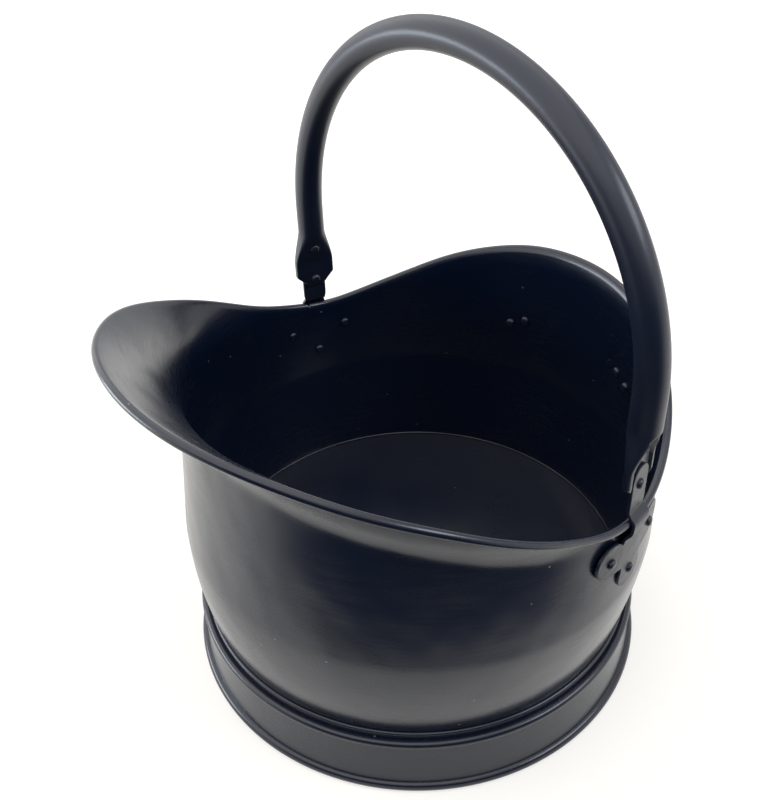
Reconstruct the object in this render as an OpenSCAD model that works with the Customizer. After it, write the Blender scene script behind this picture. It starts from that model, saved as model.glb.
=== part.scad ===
// Helmet-shaped log carrier for the hearth, in millimetres.
// A sheet-steel drum with a pushed-out pouring lip stands on a flared base ring.
// A hoop of steel tube is riveted to two three-lobed brackets, and a small bow
// handle at the back is used to tip it. Nothing on it moves.
// +Z is up, the lip points to -Y and the hoop spans X. The origin is on the floor,
// on the axis of the base ring.

/* [Sheet] */

// Thickness of the steel sheet of the drum, the floor and the base ring
sheet_t = 1.2; // [0.8:0.1:1.6]
// Clearance between sheets that are pressed one over the other
fit_gap = 0.05; // [0:0.01:0.1]

/* [Drum] */

// Radius of the drum's outside at its fullest
drum_r = 160.3; // [150:0.1:170]
// How far the drum draws in where it stands in the base ring
neck_in = 11.5; // [8:0.1:16]
// Height of the belly, from the base ring to the drum's full radius
belly_h = 69.3; // [50:0.1:80]
// How much flatter the drum is under the pouring lip than at the back
front_pinch = 5.3; // [0:0.1:9]
// How far the throat under the rim stands inside the middle of the rolled bead
throat_in = 2.2; // [1.6:0.1:4]
// How much further the throat leans in under the pouring lip
front_lean = 4.6; // [0:0.1:9]

/* [Rim] */

// How far the middle of the rolled bead stands inside the drum's fullest part
rim_in = 0.7; // [0:0.1:1.5]
// How far the front half of the rim is pushed forward
lip_reach = 27.3; // [10:0.1:40]
// Height of the rim at its lowest, beside the brackets
dip_z = 176.6; // [165:0.1:190]
// How far the tip of the lip stands above the rim's lowest point
lip_rise = 103; // [80:0.5:120]
// Distance of that lowest point behind the drum's axis
dip_y = 44; // [30:1:60]
// How far the rim rises at the back above its lowest point
back_rise = 54.6; // [40:0.1:70]
// How far the rim runs on level towards the lip, before it climbs
lip_ease = 60; // [30:1:80]
// How far the rim holds its last slope behind the lip's tip
lip_run = 110; // [60:1:130]
// Slope of the rim as it reaches the lip's tip, as a rise over its run
lip_slope = 0.38; // [0.1:0.01:0.6]
// How far the rim runs on level towards the back, before it climbs
back_ease = 32; // [20:1:50]
// How far the rim holds its last slope before the back
back_run = 45; // [20:1:60]
// Slope of the rim as it reaches the back, as a rise over its run
back_slope = 0.66; // [0.2:0.01:0.8]
// Height of the flare under the rim at the sides and the back
flare_h = 12; // [10:0.5:16]
// How much taller the flare is for each millimetre that the lip is pushed forward
flare_run = 2; // [1.5:0.1:2.6]
// How early the belly swells above the base ring: 1 is a cone, 3 a quick turn
belly_power = 1.2; // [1:0.1:3]
// How late the flare opens: 1 is a straight cone, 3 a sharp turn at the top
flare_power = 1.4; // [1.2:0.1:2]
// Radius of the bead that is rolled outwards along the rim
bead_r = 2.6; // [2:0.1:3.2]

/* [Base ring] */

// How far the foot of the base ring flares out beyond the drum's neck
foot_out = 11.2; // [8:0.1:20]
// Radius of the rolled foot bead
foot_bead_r = 3.7; // [3:0.1:4.4]
// Depth of the flat that wear and gravity leave under the foot bead
foot_flat = 0.5; // [0.3:0.1:0.8]
// How far the base ring's middle bead stands out beyond the drum's neck
waist_out = 3.8; // [3.2:0.1:4.6]
// How far below the floor's top face that middle bead runs
waist_drop = 5.5; // [5:0.1:7]
// Radius of that bead's section
waist_bead_r = 3.2; // [2.6:0.1:3.6]
// How far the rounded shoulder above that bead stands out beyond the collar
shoulder_out = 2; // [1.6:0.1:2.4]
// Height of the floor's top face
floor_z = 46; // [36:0.1:60]
// How far the collar of the base ring stands above the floor
collar_rise = 1.8; // [1:0.1:4]
// Depth of the floor's turned-down edge
floor_flange = 8; // [4:0.5:10]

/* [Hoop handle] */

// Outside diameter of the hoop's tube
tube_d = 19; // [16:0.5:22]
// Wall of the hoop's tube
tube_wall = 1.5; // [1:0.1:2]
// Distance of the hoop behind the drum's axis
hoop_y = 33.9; // [20:0.1:40]
// How far the middle of each upright leg stands inside the middle of the rim's bead
leg_in = 6.2; // [4:0.1:7]
// Height of the top of the hoop above the rim's lowest point
hoop_rise = 236.4; // [232:0.1:260]
// Width of the tube's crushed ends
flat_w = 29; // [27:0.5:32]
// Thickness of a crushed end over its edges
flat_t = 5.6; // [4.6:0.1:6.4]
// Depth of the trough that the bracket lies in
trough_d = 2.2; // [1.6:0.1:2.6]
// Width of that trough
trough_w = 22; // [21:0.5:23]
// Radius of the scoop in which the trough runs out into the tube
scoop_r = 30; // [24:1:40]
// Height of the crushed end's lower edge above the rim's lowest point
flat_start = 21.8; // [18:0.1:23]
// Length of the crushed end that is flat
flat_l = 19.6; // [18:0.1:24]
// Length over which the tube grows round again
round_l = 24; // [20:0.5:30]
// Size of the clipped corners of the crushed ends
flat_clip = 8; // [4:0.5:10]

/* [Brackets] */

// Thickness of the bracket's plate
plate_t = 2; // [1.6:0.1:2.5]
// Radius of each of the three lobes
lobe_r = 12; // [10.5:0.1:12.5]
// Distance of the side lobes' rivets from the bracket's middle line
lobe_x = 22.3; // [20:0.1:25]
// How far the side lobes' rivets stand below the rim's lowest point
lobe_drop = 18.7; // [17:0.1:24]
// How far the lower lobe's rivet stands below the side ones
lobe_fall = 19.8; // [17:0.1:22]
// Width of the arms out to the side lobes
arm_w = 21; // [16:0.5:22]
// Width of the web down to the lower lobe
web_w = 22; // [16:0.5:23]
// Width of the strap that climbs over the rim
strap_w = 16.5; // [14:0.5:18]
// Width of the tongue riveted to the hoop
tongue_w = 17.5; // [17:0.5:20]
// Height of the tongue's rounded top above the rim's lowest point
tongue_rise = 40; // [38:0.1:45]
// How far below and above the rim's bead the strap leaves the drum and meets the hoop
fold_h = 8; // [7:0.1:9]
// Half the height of the strap's crown, outside the bead
crown_h = 3.5; // [3:0.1:4.5]

/* [Rivets] */

// Diameter of a rivet's shank and of the hole for it
shank_d = 4; // [3:0.1:5]
// Diameter of a rivet's head
head_d = 6.6; // [6:0.1:8]
// Height of a rivet's domed head
head_h = 2; // [1.5:0.1:2.5]
// Height of the rivet through the tongue above the rim's lowest point
tongue_rivet_rise = 27; // [26.5:0.1:31]
// Height of the upper rivet, which pins the crushed tube, above the rim's lowest point
pinch_rivet_rise = 53.4; // [51:0.1:56]

/* [Rear handle] */

// Diameter of the bow handle's rod
bow_d = 11; // [9:0.5:13]
// Half the distance between the bow's arms
bow_arm_x = 30; // [28:0.5:31]
// Length of each arm's straight
bow_arm_l = 6; // [2:0.5:12]
// Radius of the bow's two outer corners
bow_corner_r = 20; // [14:0.5:24]
// Radius of the bend at each foot of the bow
bow_bend_r = 8; // [7:0.5:9]
// How far the bow's feet stand below the rim at the back
bow_drop = 67; // [50:0.5:75]
// Height of the rod's feet above the middle of the pads
bow_lift = 4.5; // [2:0.5:6]
// How far the bow tips up from level
bow_tilt = 20; // [0:1:30]
// Distance of each pad's middle from the middle plane
pad_x = 51.7; // [49:0.1:54]
// Length of each flattened pad
pad_l = 30; // [29:0.5:32]
// Width of each flattened pad
pad_w = 14; // [12:0.5:16]
// Thickness of each flattened pad
pad_t = 2.6; // [2:0.1:3.2]
// Slope of each pad, down towards its outer end
pad_slope = 23; // [0:1:30]
// Distance between the two rivets of a pad
pad_rivet_gap = 13.3; // [12:0.1:15]

/* [Smoothness] */

// Stations round the drum
drum_sides = 96; // [72:4:120]
// Rows up the drum's wall
drum_rows = 16; // [12:1:20]

/* [Hidden] */

satin_black = [0.07, 0.07, 0.08];
rivet_black = [0.10, 0.10, 0.11];

$fn = 64;

// Radii, all worked out from the drum's full radius.
neck_r = drum_r - neck_in;
rim_r = drum_r - rim_in;
foot_r = neck_r + foot_out;
waist_r = neck_r + waist_out;
leg_x = rim_r - leg_in;

// Heights of the base, worked out from the floor.
neck_z = floor_z + collar_rise;
full_z = neck_z + belly_h;
waist_z = floor_z - waist_drop;
// The drum's lower edge stands this far down inside the base ring.
seat_z = floor_z - floor_flange;

// Heights of all that the rim carries, worked out from its lowest point.
lip_z = dip_z + lip_rise;
back_z = dip_z + back_rise;
lobe_z = dip_z - lobe_drop;
low_lobe_z = lobe_z - lobe_fall;
tongue_top_z = dip_z + tongue_rise;
tongue_rivet_z = dip_z + tongue_rivet_rise;
pinch_rivet_z = dip_z + pinch_rivet_rise;
flat_low_z = dip_z + flat_start;
flat_high_z = flat_low_z + flat_l;
round_z = flat_high_z + round_l;
hoop_top_z = dip_z + hoop_rise;
bow_z = back_z - bow_drop;

// Angle of the bracket's middle line round the drum, behind +X.
bracket_turn = asin(hoop_y / rim_r);
// Distance of the hoop's leg from the axis, along the bracket's normal.
leg_n = leg_x * cos(bracket_turn) + hoop_y * sin(bracket_turn);
// Inner face of the tongue: it lies on the floor of the trough.
tongue_n = leg_n + flat_t / 2 - trough_d + fit_gap;
// The crown of the strap clears the rolled bead.
crown_gap = 0.2;
crown_n = rim_r + bead_r + crown_gap;
// Height at which the hoop's bend begins.
hoop_z = hoop_top_z - leg_x;
// The bow's rod clears the drum by this much beside its feet.
bow_gap = 0.3;
// How far a rivet hole is cut to each side of the sheet.
hole_reach = 12;
// The solid plug that closes the tube at its crushed end is this much slimmer.
plug_step = 0.1;
// Seat of the upper rivet's head in the crushed end, from the tube's middle.
pinch_sink = 0.6;
head_gap = 0.4;
// How far the upper rivet's shank reaches out beyond the tube's middle.
pinch_reach = 2;
pinch_seat = (flat_t + (tube_d - flat_t) * (pinch_rivet_z - flat_high_z) / round_l) / 2 - pinch_sink;

// Curves of the drum

function clamp01(v) = max(0, min(1, v));

function bezier(p, t) =
    pow(1 - t, 3) * p[0] + 3 * pow(1 - t, 2) * t * p[1] + 3 * (1 - t) * t * t * p[2] + pow(t, 3) * p[3];

// The rim seen from the side is two curves that meet level at the dip.
lip_y = -(rim_r + lip_reach);
front_curve = [[dip_y, dip_z], [dip_y - lip_ease, dip_z], [lip_y + lip_run, lip_z - lip_slope * lip_run],
    [lip_y, lip_z]];
back_curve = [[dip_y, dip_z], [dip_y + back_ease, dip_z], [rim_r - back_run, back_z - back_slope * back_run],
    [rim_r, back_z]];
steps = 48;
row_power = 1.4;
bead_steps = 8;
rim_line = concat([for (k = [steps : -1 : 1]) bezier(front_curve, k / steps)],
    [for (k = [0 : steps]) bezier(back_curve, k / steps)]);

function rim_z(y) = lookup(y, rim_line);

// Seen from above, the rim is two half circles joined by straight sides.
function rim_radius(a) =
    cos(a) <= 0 ? rim_r :
    rim_r / max(sin(abs(a)), 0.001) * cos(a) <= lip_reach ? rim_r / sin(abs(a)) :
    lip_reach * cos(a) + sqrt(pow(rim_r, 2) - pow(lip_reach * sin(a), 2));

function front_share(a) = pow(max(0, cos(a)), 2);

// Outside radius of the drum's plain wall, which leans in from its fullest part to the throat.
function full_radius(a, z) =
    let (lean = drum_r - rim_r + throat_in + front_lean * front_share(a))
    drum_r - front_pinch * front_share(a) - lean * (z - full_z) / (dip_z - full_z);

function belly(z) = 1 - pow(1 - clamp01((z - neck_z) / (full_z - neck_z)), belly_power);

// Middle of the rolled bead, and height and slant of the flare under it.
function rim_point(a) = [rim_radius(a), rim_z(-rim_radius(a) * cos(a))];

function flare_height(a) = flare_h + flare_run * max(0, rim_radius(a) - rim_r);

function flare_slant(a, share) =
    let (reach = rim_radius(a) - full_radius(a, rim_point(a)[1]))
    flare_power * max(0, reach) / flare_height(a) * pow(share, flare_power - 1);

// Angle on the bead's circle at which the wall's outer face runs into it. The inner
// face runs on over the top of the bead, which is rolled outwards.
function root_angle(a) = 180 + acos((bead_r - sheet_t) / bead_r) - atan(flare_slant(a, 1));

function wall_end(a) = rim_point(a) + bead_r * [cos(root_angle(a)), sin(root_angle(a))];

function flare_share(a, z, end) = clamp01((z - end[1]) / flare_height(a) + 1);

// Outside radius of the drum at angle a from the lip and height z.
function wall_radius(a, z, end) =
    let (full = full_radius(a, z))
    let (plain = neck_r + (full - neck_r) * belly(z))
    plain + (end[0] - full) * pow(flare_share(a, z, end), flare_power);

// Angle of each rear pad round the drum, from +Y.
pad_turn = asin(pad_x / rim_r);
side_end = wall_end(90 + bracket_turn);
back_end = wall_end(180 - pad_turn);

// Outside radius of the drum under the brackets and under the rear pads, at height z.
function side_r(z) = wall_radius(90 + bracket_turn, z, side_end);

function back_r(z) = wall_radius(180 - pad_turn, z, back_end);

// Inner face of the bracket's plate: it lies on the drum under the lower lobe.
plate_n = side_r(low_lobe_z) + fit_gap;
// Inner face of the rear pads.
pad_n = back_r(bow_z - pad_w / 2) + fit_gap;

// One upright section of the drum: up the outside, round the bead, down the inside.
// The rows are closer together towards the rim.
function drum_section(a) =
    let (end = wall_end(a), mid = rim_point(a), root = root_angle(a) - 360)
    let (slant = atan(flare_slant(a, 1)), turn = 180 - slant - root)
    let (shares = [for (k = [0 : drum_rows]) 1 - pow(1 - k / drum_rows, row_power)])
    let (rows = [for (k = shares) neck_z + (end[1] - neck_z) * k])
    let (outer = [for (z = rows) [wall_radius(a, z, end), z]])
    let (bead_turns = [for (k = [1 : bead_steps]) root + turn * k / bead_steps])
    let (bead = [for (b = bead_turns) mid + bead_r * [cos(b), sin(b)]])
    let (inner = [for (k = [drum_rows : -1 : 0])
        let (across = flare_slant(a, flare_share(a, rows[k], end)))
        outer[k] - [sheet_t * sqrt(1 + across * across), 0]])
    concat([[neck_r, seat_z]], outer, bead, inner, [[neck_r - sheet_t, seat_z]]);

module body_skin() {
    count = len(drum_section(0));
    points = [for (i = [0 : drum_sides - 1])
        let (a = 360 * i / drum_sides)
        for (p = drum_section(a > 180 ? a - 360 : a)) [p[0] * sin(a), -p[0] * cos(a), p[1]]];
    faces = [for (i = [0 : drum_sides - 1], j = [0 : count - 1])
        let (i2 = (i + 1) % drum_sides, j2 = (j + 1) % count)
        let (q = [i * count + j, i * count + j2, i2 * count + j2, i2 * count + j])
        each [[q[0], q[1], q[2]], [q[0], q[2], q[3]]]];
    polyhedron(points = points, faces = faces, convexity = 6);
}

// Places on the drum

// Frame of a bracket: X outwards from the drum, Y towards the back, Z up.
module at_bracket(side) {
    mirror([side < 0 ? 1 : 0, 0, 0]) rotate([0, 0, bracket_turn]) children();
}

// Frame of a rear pad: Z outwards from the drum, X along the pad.
module at_pad(side) {
    mirror([side < 0 ? 1 : 0, 0, 0])
        rotate([0, 0, -pad_turn])
            translate([0, pad_n, bow_z])
                rotate([-90, 0, 0])
                    rotate([0, 0, pad_slope])
                        children();
}

// Frame of one of a bracket's lobes, which are wrapped round the drum: X along its rivet.
module at_lobe(side, p) {
    at_bracket(side) rotate([0, 0, lobe_turn(p)]) translate([0, 0, p[1]]) children();
}

// A rivet along X with both heads: its plates lie between x0 and x1.
module rivet(x0, x1, outer_h = head_h) {
    cap_r = (pow(head_d / 2, 2) + pow(head_h, 2)) / (2 * head_h);
    root = 0.3;
    rotate([0, 90, 0]) {
        translate([0, 0, x0 - root])
            cylinder(d = shank_d, h = x1 - x0 + root + (outer_h > 0 ? root : 0), $fn = 32);
        if (outer_h > 0)
            translate([0, 0, x1]) rivet_head(cap_r);
        translate([0, 0, x0]) mirror([0, 0, 1]) rivet_head(cap_r);
    }
}

module rivet_head(cap_r) {
    rotate_extrude($fn = 32)
        intersection() {
            translate([0, head_h - cap_r]) circle(r = cap_r, $fn = 64);
            square([head_d, head_h + 1]);
        }
}

// Distance of a wall of radius r along a rivet that stands off the middle by s.
function wall_at(r, s) = sqrt(pow(r, 2) - s * s);

lobes = [[-lobe_x, lobe_z], [lobe_x, lobe_z], [0, low_lobe_z]];

// Angle of a lobe's rivet round the drum, from the bracket's middle line.
function lobe_turn(p) = asin(p[0] / plate_n);

// Drum, floor and base ring

module body_shell() {
    color(satin_black)
        difference() {
            body_skin();
            for (side = [-1, 1]) {
                for (p = lobes)
                    at_lobe(side, p)
                        translate([drum_r - hole_reach, 0, 0])
                            rotate([0, 90, 0]) cylinder(d = shank_d, h = 2 * hole_reach, $fn = 32);
                at_pad(side)
                    for (s = [-1, 1])
                        translate([s * pad_rivet_gap / 2, 0, -hole_reach])
                            cylinder(d = shank_d, h = 2 * hole_reach, $fn = 32);
            }
        }
}

module floor_pan() {
    pan_r = neck_r - sheet_t - 2 * fit_gap;
    edge = sheet_t / 2;
    color(satin_black)
        rotate_extrude($fn = 180)
            polygon([[0, floor_z - sheet_t], [pan_r - sheet_t, floor_z - sheet_t],
                [pan_r - sheet_t, seat_z], [pan_r, seat_z],
                [pan_r, floor_z - edge], [pan_r - edge, floor_z], [0, floor_z]]);
}

module base_ring() {
    collar_r = neck_r + fit_gap;
    foot_c = [foot_r - foot_bead_r, foot_bead_r - foot_flat];
    face_top = [waist_r, waist_z - waist_bead_r / 2];
    shoulder_r = collar_r + shoulder_out;
    bead_top = waist_z + sqrt(pow(waist_bead_r, 2) - pow(waist_r - shoulder_r, 2)) - 0.3;
    edge = sheet_t / 2;
    color(satin_black)
        rotate_extrude($fn = 180)
            difference() {
                union() {
                    translate(foot_c) circle(r = foot_bead_r, $fn = 32);
                    polygon([foot_c + [-sheet_t / 2, 0], foot_c + [sheet_t / 2, 0],
                        face_top + [sheet_t / 2, 0], face_top - [sheet_t / 2, 0]]);
                    translate([waist_r, waist_z]) circle(r = waist_bead_r, $fn = 32);
                    polygon([[collar_r, seat_z], [collar_r + sheet_t, seat_z],
                        [collar_r + sheet_t, waist_z], [shoulder_r, waist_z],
                        [shoulder_r, bead_top], [shoulder_r - edge / 2, neck_z - 3 * edge],
                        [collar_r + 2 * edge, neck_z - edge], [collar_r + edge, neck_z],
                        [collar_r, neck_z]]);
                }
                translate([0, -10]) square([foot_r + 10, 10]);
            }
}

// Hoop handle

module tube_section() {
    difference() {
        circle(d = tube_d, $fn = 48);
        circle(d = tube_d - 2 * tube_wall, $fn = 48);
    }
}

module hoop_tube() {
    translate([0, hoop_y, hoop_z])
        rotate([90, 0, 0])
            rotate_extrude(angle = 180, $fn = 180)
                translate([leg_x, 0]) tube_section();
    for (side = [-1, 1])
        translate([side * leg_x, hoop_y, round_z]) linear_extrude(hoop_z - round_z) tube_section();
}

// The crushed end: the tube is flattened, with a scooped trough on its outer side.
module crushed_end() {
    scoop_n = flat_t / 2 - trough_d;
    difference() {
        union() {
            hull() {
                translate([0, 0, round_z]) cylinder(d = tube_d - 2 * plug_step, h = 1, $fn = 40);
                translate([-flat_t / 2, -flat_w / 2, flat_high_z - 1]) cube([flat_t, flat_w, 1]);
            }
            translate([-flat_t / 2, 0, 0])
                rotate([90, 0, 90])
                    linear_extrude(flat_t)
                        polygon([[-flat_w / 2, flat_high_z - 1], [-flat_w / 2, flat_low_z + flat_clip],
                            [-flat_w / 2 + flat_clip, flat_low_z], [flat_w / 2 - flat_clip, flat_low_z],
                            [flat_w / 2, flat_low_z + flat_clip], [flat_w / 2, flat_high_z - 1]]);
        }
        translate([scoop_n, -trough_w / 2, flat_low_z - 1])
            cube([flat_t, trough_w, flat_high_z + 5 - flat_low_z]);
        translate([scoop_n + scoop_r, 0, flat_high_z + 2])
            rotate([90, 0, 0]) cylinder(r = scoop_r, h = trough_w * 0.7, center = true, $fn = 96);
    }
}

module hoop_handle() {
    color(satin_black)
        difference() {
            union() {
                hoop_tube();
                for (side = [0, 1])
                    mirror([side, 0, 0])
                        translate([leg_x, hoop_y, 0]) rotate([0, 0, bracket_turn]) crushed_end();
            }
            for (side = [-1, 1])
                at_bracket(side) {
                    for (z = [tongue_rivet_z, pinch_rivet_z])
                        translate([leg_n - hole_reach, 0, z])
                            rotate([0, 90, 0]) cylinder(d = shank_d, h = 2 * hole_reach, $fn = 32);
                    translate([leg_n - hole_reach, 0, pinch_rivet_z])
                        rotate([0, 90, 0])
                            cylinder(d = head_d + head_gap, h = hole_reach - pinch_seat, $fn = 32);
                }
        }
}

// Brackets

module bracket_face() {
    arm_low = lobe_z - arm_w / 2;
    arm_high = lobe_z + arm_w / 2;
    arm_x = lobe_x - lobe_r * 0.65;
    right_edge = [[web_w / 2, low_lobe_z], [web_w / 2, arm_low], [lobe_x, arm_low], [lobe_x, arm_high],
        [arm_x, arm_high], [strap_w / 2, arm_high + arm_x - strap_w / 2], [strap_w / 2, dip_z + fold_h],
        [tongue_w / 2, dip_z + 1.5 * fold_h], [tongue_w / 2, tongue_top_z - tongue_w / 2]];
    for (p = lobes)
        translate(p) circle(r = lobe_r, $fn = 48);
    left_edge = [for (k = [len(right_edge) - 1 : -1 : 0]) [-right_edge[k][0], right_edge[k][1]]];
    polygon(concat(right_edge, left_edge));
    translate([0, tongue_top_z - tongue_w / 2]) circle(d = tongue_w, $fn = 48);
}

// Side view of the bent plate: flat on the drum, out over the bead, up the hoop.
// The outer face is mitred at each bend, so the plate keeps its thickness.
module bracket_bend() {
    low = low_lobe_z - lobe_r - plate_t;
    high = tongue_top_z + plate_t;
    out_mitre = plate_t * tan(atan((crown_n - plate_n) / (fold_h - crown_h)) / 2);
    in_mitre = plate_t * tan(atan((crown_n - tongue_n) / (fold_h - crown_h)) / 2);
    inner = [[plate_n, low], [plate_n, dip_z - fold_h],
        [crown_n, dip_z - crown_h], [crown_n, dip_z + crown_h],
        [tongue_n, dip_z + fold_h], [tongue_n, high]];
    outer = [[tongue_n, high], [tongue_n, dip_z + fold_h + in_mitre],
        [crown_n, dip_z + crown_h + in_mitre], [crown_n, dip_z - crown_h - out_mitre],
        [plate_n, dip_z - fold_h - out_mitre], [plate_n, low]];
    polygon(concat(inner, [for (p = outer) p + [plate_t, 0]]));
}

// The bent strip: wrapped round the drum below the fold, straight above it.
module bracket_strip() {
    half_w = lobe_x + lobe_r + plate_t;
    wrap = 2 * asin(half_w / plate_n);
    low = low_lobe_z - lobe_r - plate_t;
    rotate([0, 0, -wrap / 2])
        rotate_extrude(angle = wrap, $fn = 360)
            translate([plate_n, low]) square([plate_t, dip_z - fold_h - low]);
    intersection() {
        translate([0, half_w, 0]) rotate([90, 0, 0]) linear_extrude(2 * half_w) bracket_bend();
        translate([0, -strap_w, dip_z - fold_h]) cube([2 * rim_r, 2 * strap_w, 2 * tongue_rise]);
    }
}

module bracket(side) {
    color(satin_black)
        difference() {
            at_bracket(side)
                intersection() {
                    rotate([90, 0, 90]) linear_extrude(crown_n + 2 * plate_t) bracket_face();
                    bracket_strip();
                }
            at_bracket(side)
                translate([drum_r - hole_reach, 0, tongue_rivet_z])
                    rotate([0, 90, 0]) cylinder(d = shank_d, h = 2 * hole_reach, $fn = 32);
            for (p = lobes)
                at_lobe(side, p)
                    translate([drum_r - hole_reach, 0, 0])
                        rotate([0, 90, 0]) cylinder(d = shank_d, h = 2 * hole_reach, $fn = 32);
        }
}

module left_bracket() bracket(-1);

module right_bracket() bracket(1);

module bracket_rivets(side) {
    color(rivet_black)
        for (p = lobes)
            at_lobe(side, p) rivet(side_r(p[1]) - sheet_t, plate_n + plate_t);
}

module left_bracket_rivets() bracket_rivets(-1);

module right_bracket_rivets() bracket_rivets(1);

// The lower rivet holds the tongue; the upper one pins the crushed tube, flush outside.
module hoop_rivets(side) {
    color(rivet_black)
        at_bracket(side) {
            translate([0, 0, tongue_rivet_z]) rivet(leg_n - flat_t / 2, tongue_n + plate_t);
            translate([0, 0, pinch_rivet_z]) rivet(leg_n - pinch_seat, leg_n + pinch_reach, outer_h = 0);
        }
}

module left_hoop_rivets() hoop_rivets(-1);

module right_hoop_rivets() hoop_rivets(1);

// Rear handle

// Frame of the bow: XY is its plane, Y away from the drum.
module at_bow() {
    foot_x = bow_arm_x + bow_bend_r;
    translate([0, wall_at(pad_n, foot_x) + bow_d / 2 + bow_gap, bow_z + bow_lift])
        rotate([bow_tilt, 0, 0])
            children();
}

// Half of the bow: a foot bend, a short arm, a corner and half of the grip bar.
module half_bow() {
    translate([bow_arm_x + bow_bend_r, bow_bend_r, 0])
        rotate([0, 0, 180])
            rotate_extrude(angle = 90, $fn = 64)
                translate([bow_bend_r, 0]) circle(d = bow_d, $fn = 32);
    translate([bow_arm_x, bow_bend_r, 0]) rotate([-90, 0, 0]) cylinder(d = bow_d, h = bow_arm_l, $fn = 32);
    translate([bow_arm_x - bow_corner_r, bow_bend_r + bow_arm_l, 0])
        rotate_extrude(angle = 90, $fn = 64)
            translate([bow_corner_r, 0]) circle(d = bow_d, $fn = 32);
    translate([0, bow_bend_r + bow_arm_l + bow_corner_r, 0])
        rotate([0, 90, 0]) cylinder(d = bow_d, h = bow_arm_x - bow_corner_r, $fn = 32);
}

module rear_handle() {
    color(satin_black)
        difference() {
            union()
                for (side = [-1, 1]) {
                    mirror([side < 0 ? 1 : 0, 0, 0]) at_bow() half_bow();
                    hull() {
                        mirror([side < 0 ? 1 : 0, 0, 0])
                            at_bow()
                                translate([bow_arm_x + bow_bend_r - 1, 0, 0])
                                    rotate([0, 90, 0]) cylinder(d = bow_d - 2 * plug_step, h = 1, $fn = 32);
                        at_pad(side)
                            translate([1 - pad_l / 2, 1 - pad_w / 2, 2 * plug_step])
                                cube([2.5, pad_w - 2, pad_t - 4 * plug_step]);
                    }
                    at_pad(side) pad();
                }
            for (side = [-1, 1])
                at_pad(side)
                    for (s = [-1, 1])
                        translate([s * pad_rivet_gap / 2, 0, -hole_reach])
                            cylinder(d = shank_d, h = 3 * hole_reach, $fn = 32);
        }
}

// A flattened foot: square where it leaves the rod, round at its outer end.
module pad() {
    linear_extrude(pad_t) {
        translate([(pad_l - pad_w) / 2, 0]) circle(d = pad_w, $fn = 48);
        translate([-pad_l / 2, -pad_w / 2]) square([pad_l - pad_w / 2, pad_w]);
    }
}

module rear_handle_rivets() {
    // The sheet's outer face under a rivet, from the pad's inner face.
    pad_seat = wall_at(back_r(bow_z), pad_rivet_gap / 2) - pad_n;
    color(rivet_black)
        for (side = [-1, 1])
            at_pad(side)
                for (s = [-1, 1])
                    translate([s * pad_rivet_gap / 2, 0, 0])
                        rotate([0, -90, 0]) rivet(pad_seat - sheet_t, pad_t);
}

body_shell();
floor_pan();
base_ring();
hoop_handle();
left_bracket();
right_bracket();
left_bracket_rivets();
right_bracket_rivets();
left_hoop_rivets();
right_hoop_rivets();
rear_handle();
rear_handle_rivets();
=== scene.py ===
"""Helmet-shaped log carrier in black enamelled sheet steel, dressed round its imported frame.

The drum, its rolled rim, the base ring, the tube hoop, the riveted brackets and the small
tipping handle at the back are worked out as surfaces. Lengths are in metres, and angles in
radians unless a name ends in _deg. +Z is up, the pouring lip points to -Y and the hoop
spans X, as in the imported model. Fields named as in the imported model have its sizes.
"""

import logging
import math
from dataclasses import dataclass
from enum import Enum

import bpy
import numpy as np
from mathutils import Matrix, Vector
from mathutils.geometry import delaunay_2d_cdt


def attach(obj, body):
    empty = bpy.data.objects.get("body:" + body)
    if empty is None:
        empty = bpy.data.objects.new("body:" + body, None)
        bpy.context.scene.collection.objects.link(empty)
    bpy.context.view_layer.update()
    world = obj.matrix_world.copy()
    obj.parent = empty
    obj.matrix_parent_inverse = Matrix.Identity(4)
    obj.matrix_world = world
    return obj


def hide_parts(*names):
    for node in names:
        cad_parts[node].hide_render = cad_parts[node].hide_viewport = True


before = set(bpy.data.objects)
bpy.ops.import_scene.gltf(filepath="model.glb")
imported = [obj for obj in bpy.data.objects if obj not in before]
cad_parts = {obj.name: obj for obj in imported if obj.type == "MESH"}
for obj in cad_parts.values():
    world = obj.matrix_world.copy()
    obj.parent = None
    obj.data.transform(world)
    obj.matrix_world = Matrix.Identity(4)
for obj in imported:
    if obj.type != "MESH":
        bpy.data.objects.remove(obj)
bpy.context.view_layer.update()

Array = np.ndarray
Socket = bpy.types.NodeSocket
Pair = tuple[float, float]
Triple = tuple[float, float, float]
Rgba = tuple[float, float, float, float]
log = logging.getLogger("log_carrier")

MM = 0.001
CREASE_ANGLE = math.radians(38)
CORNER_DEG = 88
WAVES = 24
WAVE_SPREAD = (0.6, 1.4)


# Surfaces


@dataclass(frozen=True)
class Skin:
    """A closed skin in numbers.

    Attributes:
        points: (n, 3) places in metres.
        quads: (m, 4) point numbers of the four-sided faces.
        tris: (k, 3) point numbers of the triangles.
        wear: (n,) how far the paint has been rubbed, 0 to 1.
    """

    points: Array
    quads: Array
    tris: Array
    wear: Array

    def volume(self) -> float:
        """Signed volume: a sixth of the summed triple products a . (b x c) of all triangles.

        Returns:
            The volume, positive where the faces look outwards.
        """
        corners = np.concatenate([self.quads[:, [0, 1, 2]], self.quads[:, [0, 2, 3]], self.tris])
        a, b, c = (self.points[corners[:, k]] for k in range(3))
        return float(np.einsum("ij,ij->i", a, np.cross(b, c)).sum() / 6)

    def outward(self) -> "Skin":
        """Turns the faces over if the volume is negative.

        Returns:
            The skin, faces outwards.
        """
        if self.volume() > 0:
            return self
        return Skin(self.points, self.quads[:, ::-1], self.tris[:, ::-1], self.wear)


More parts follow.
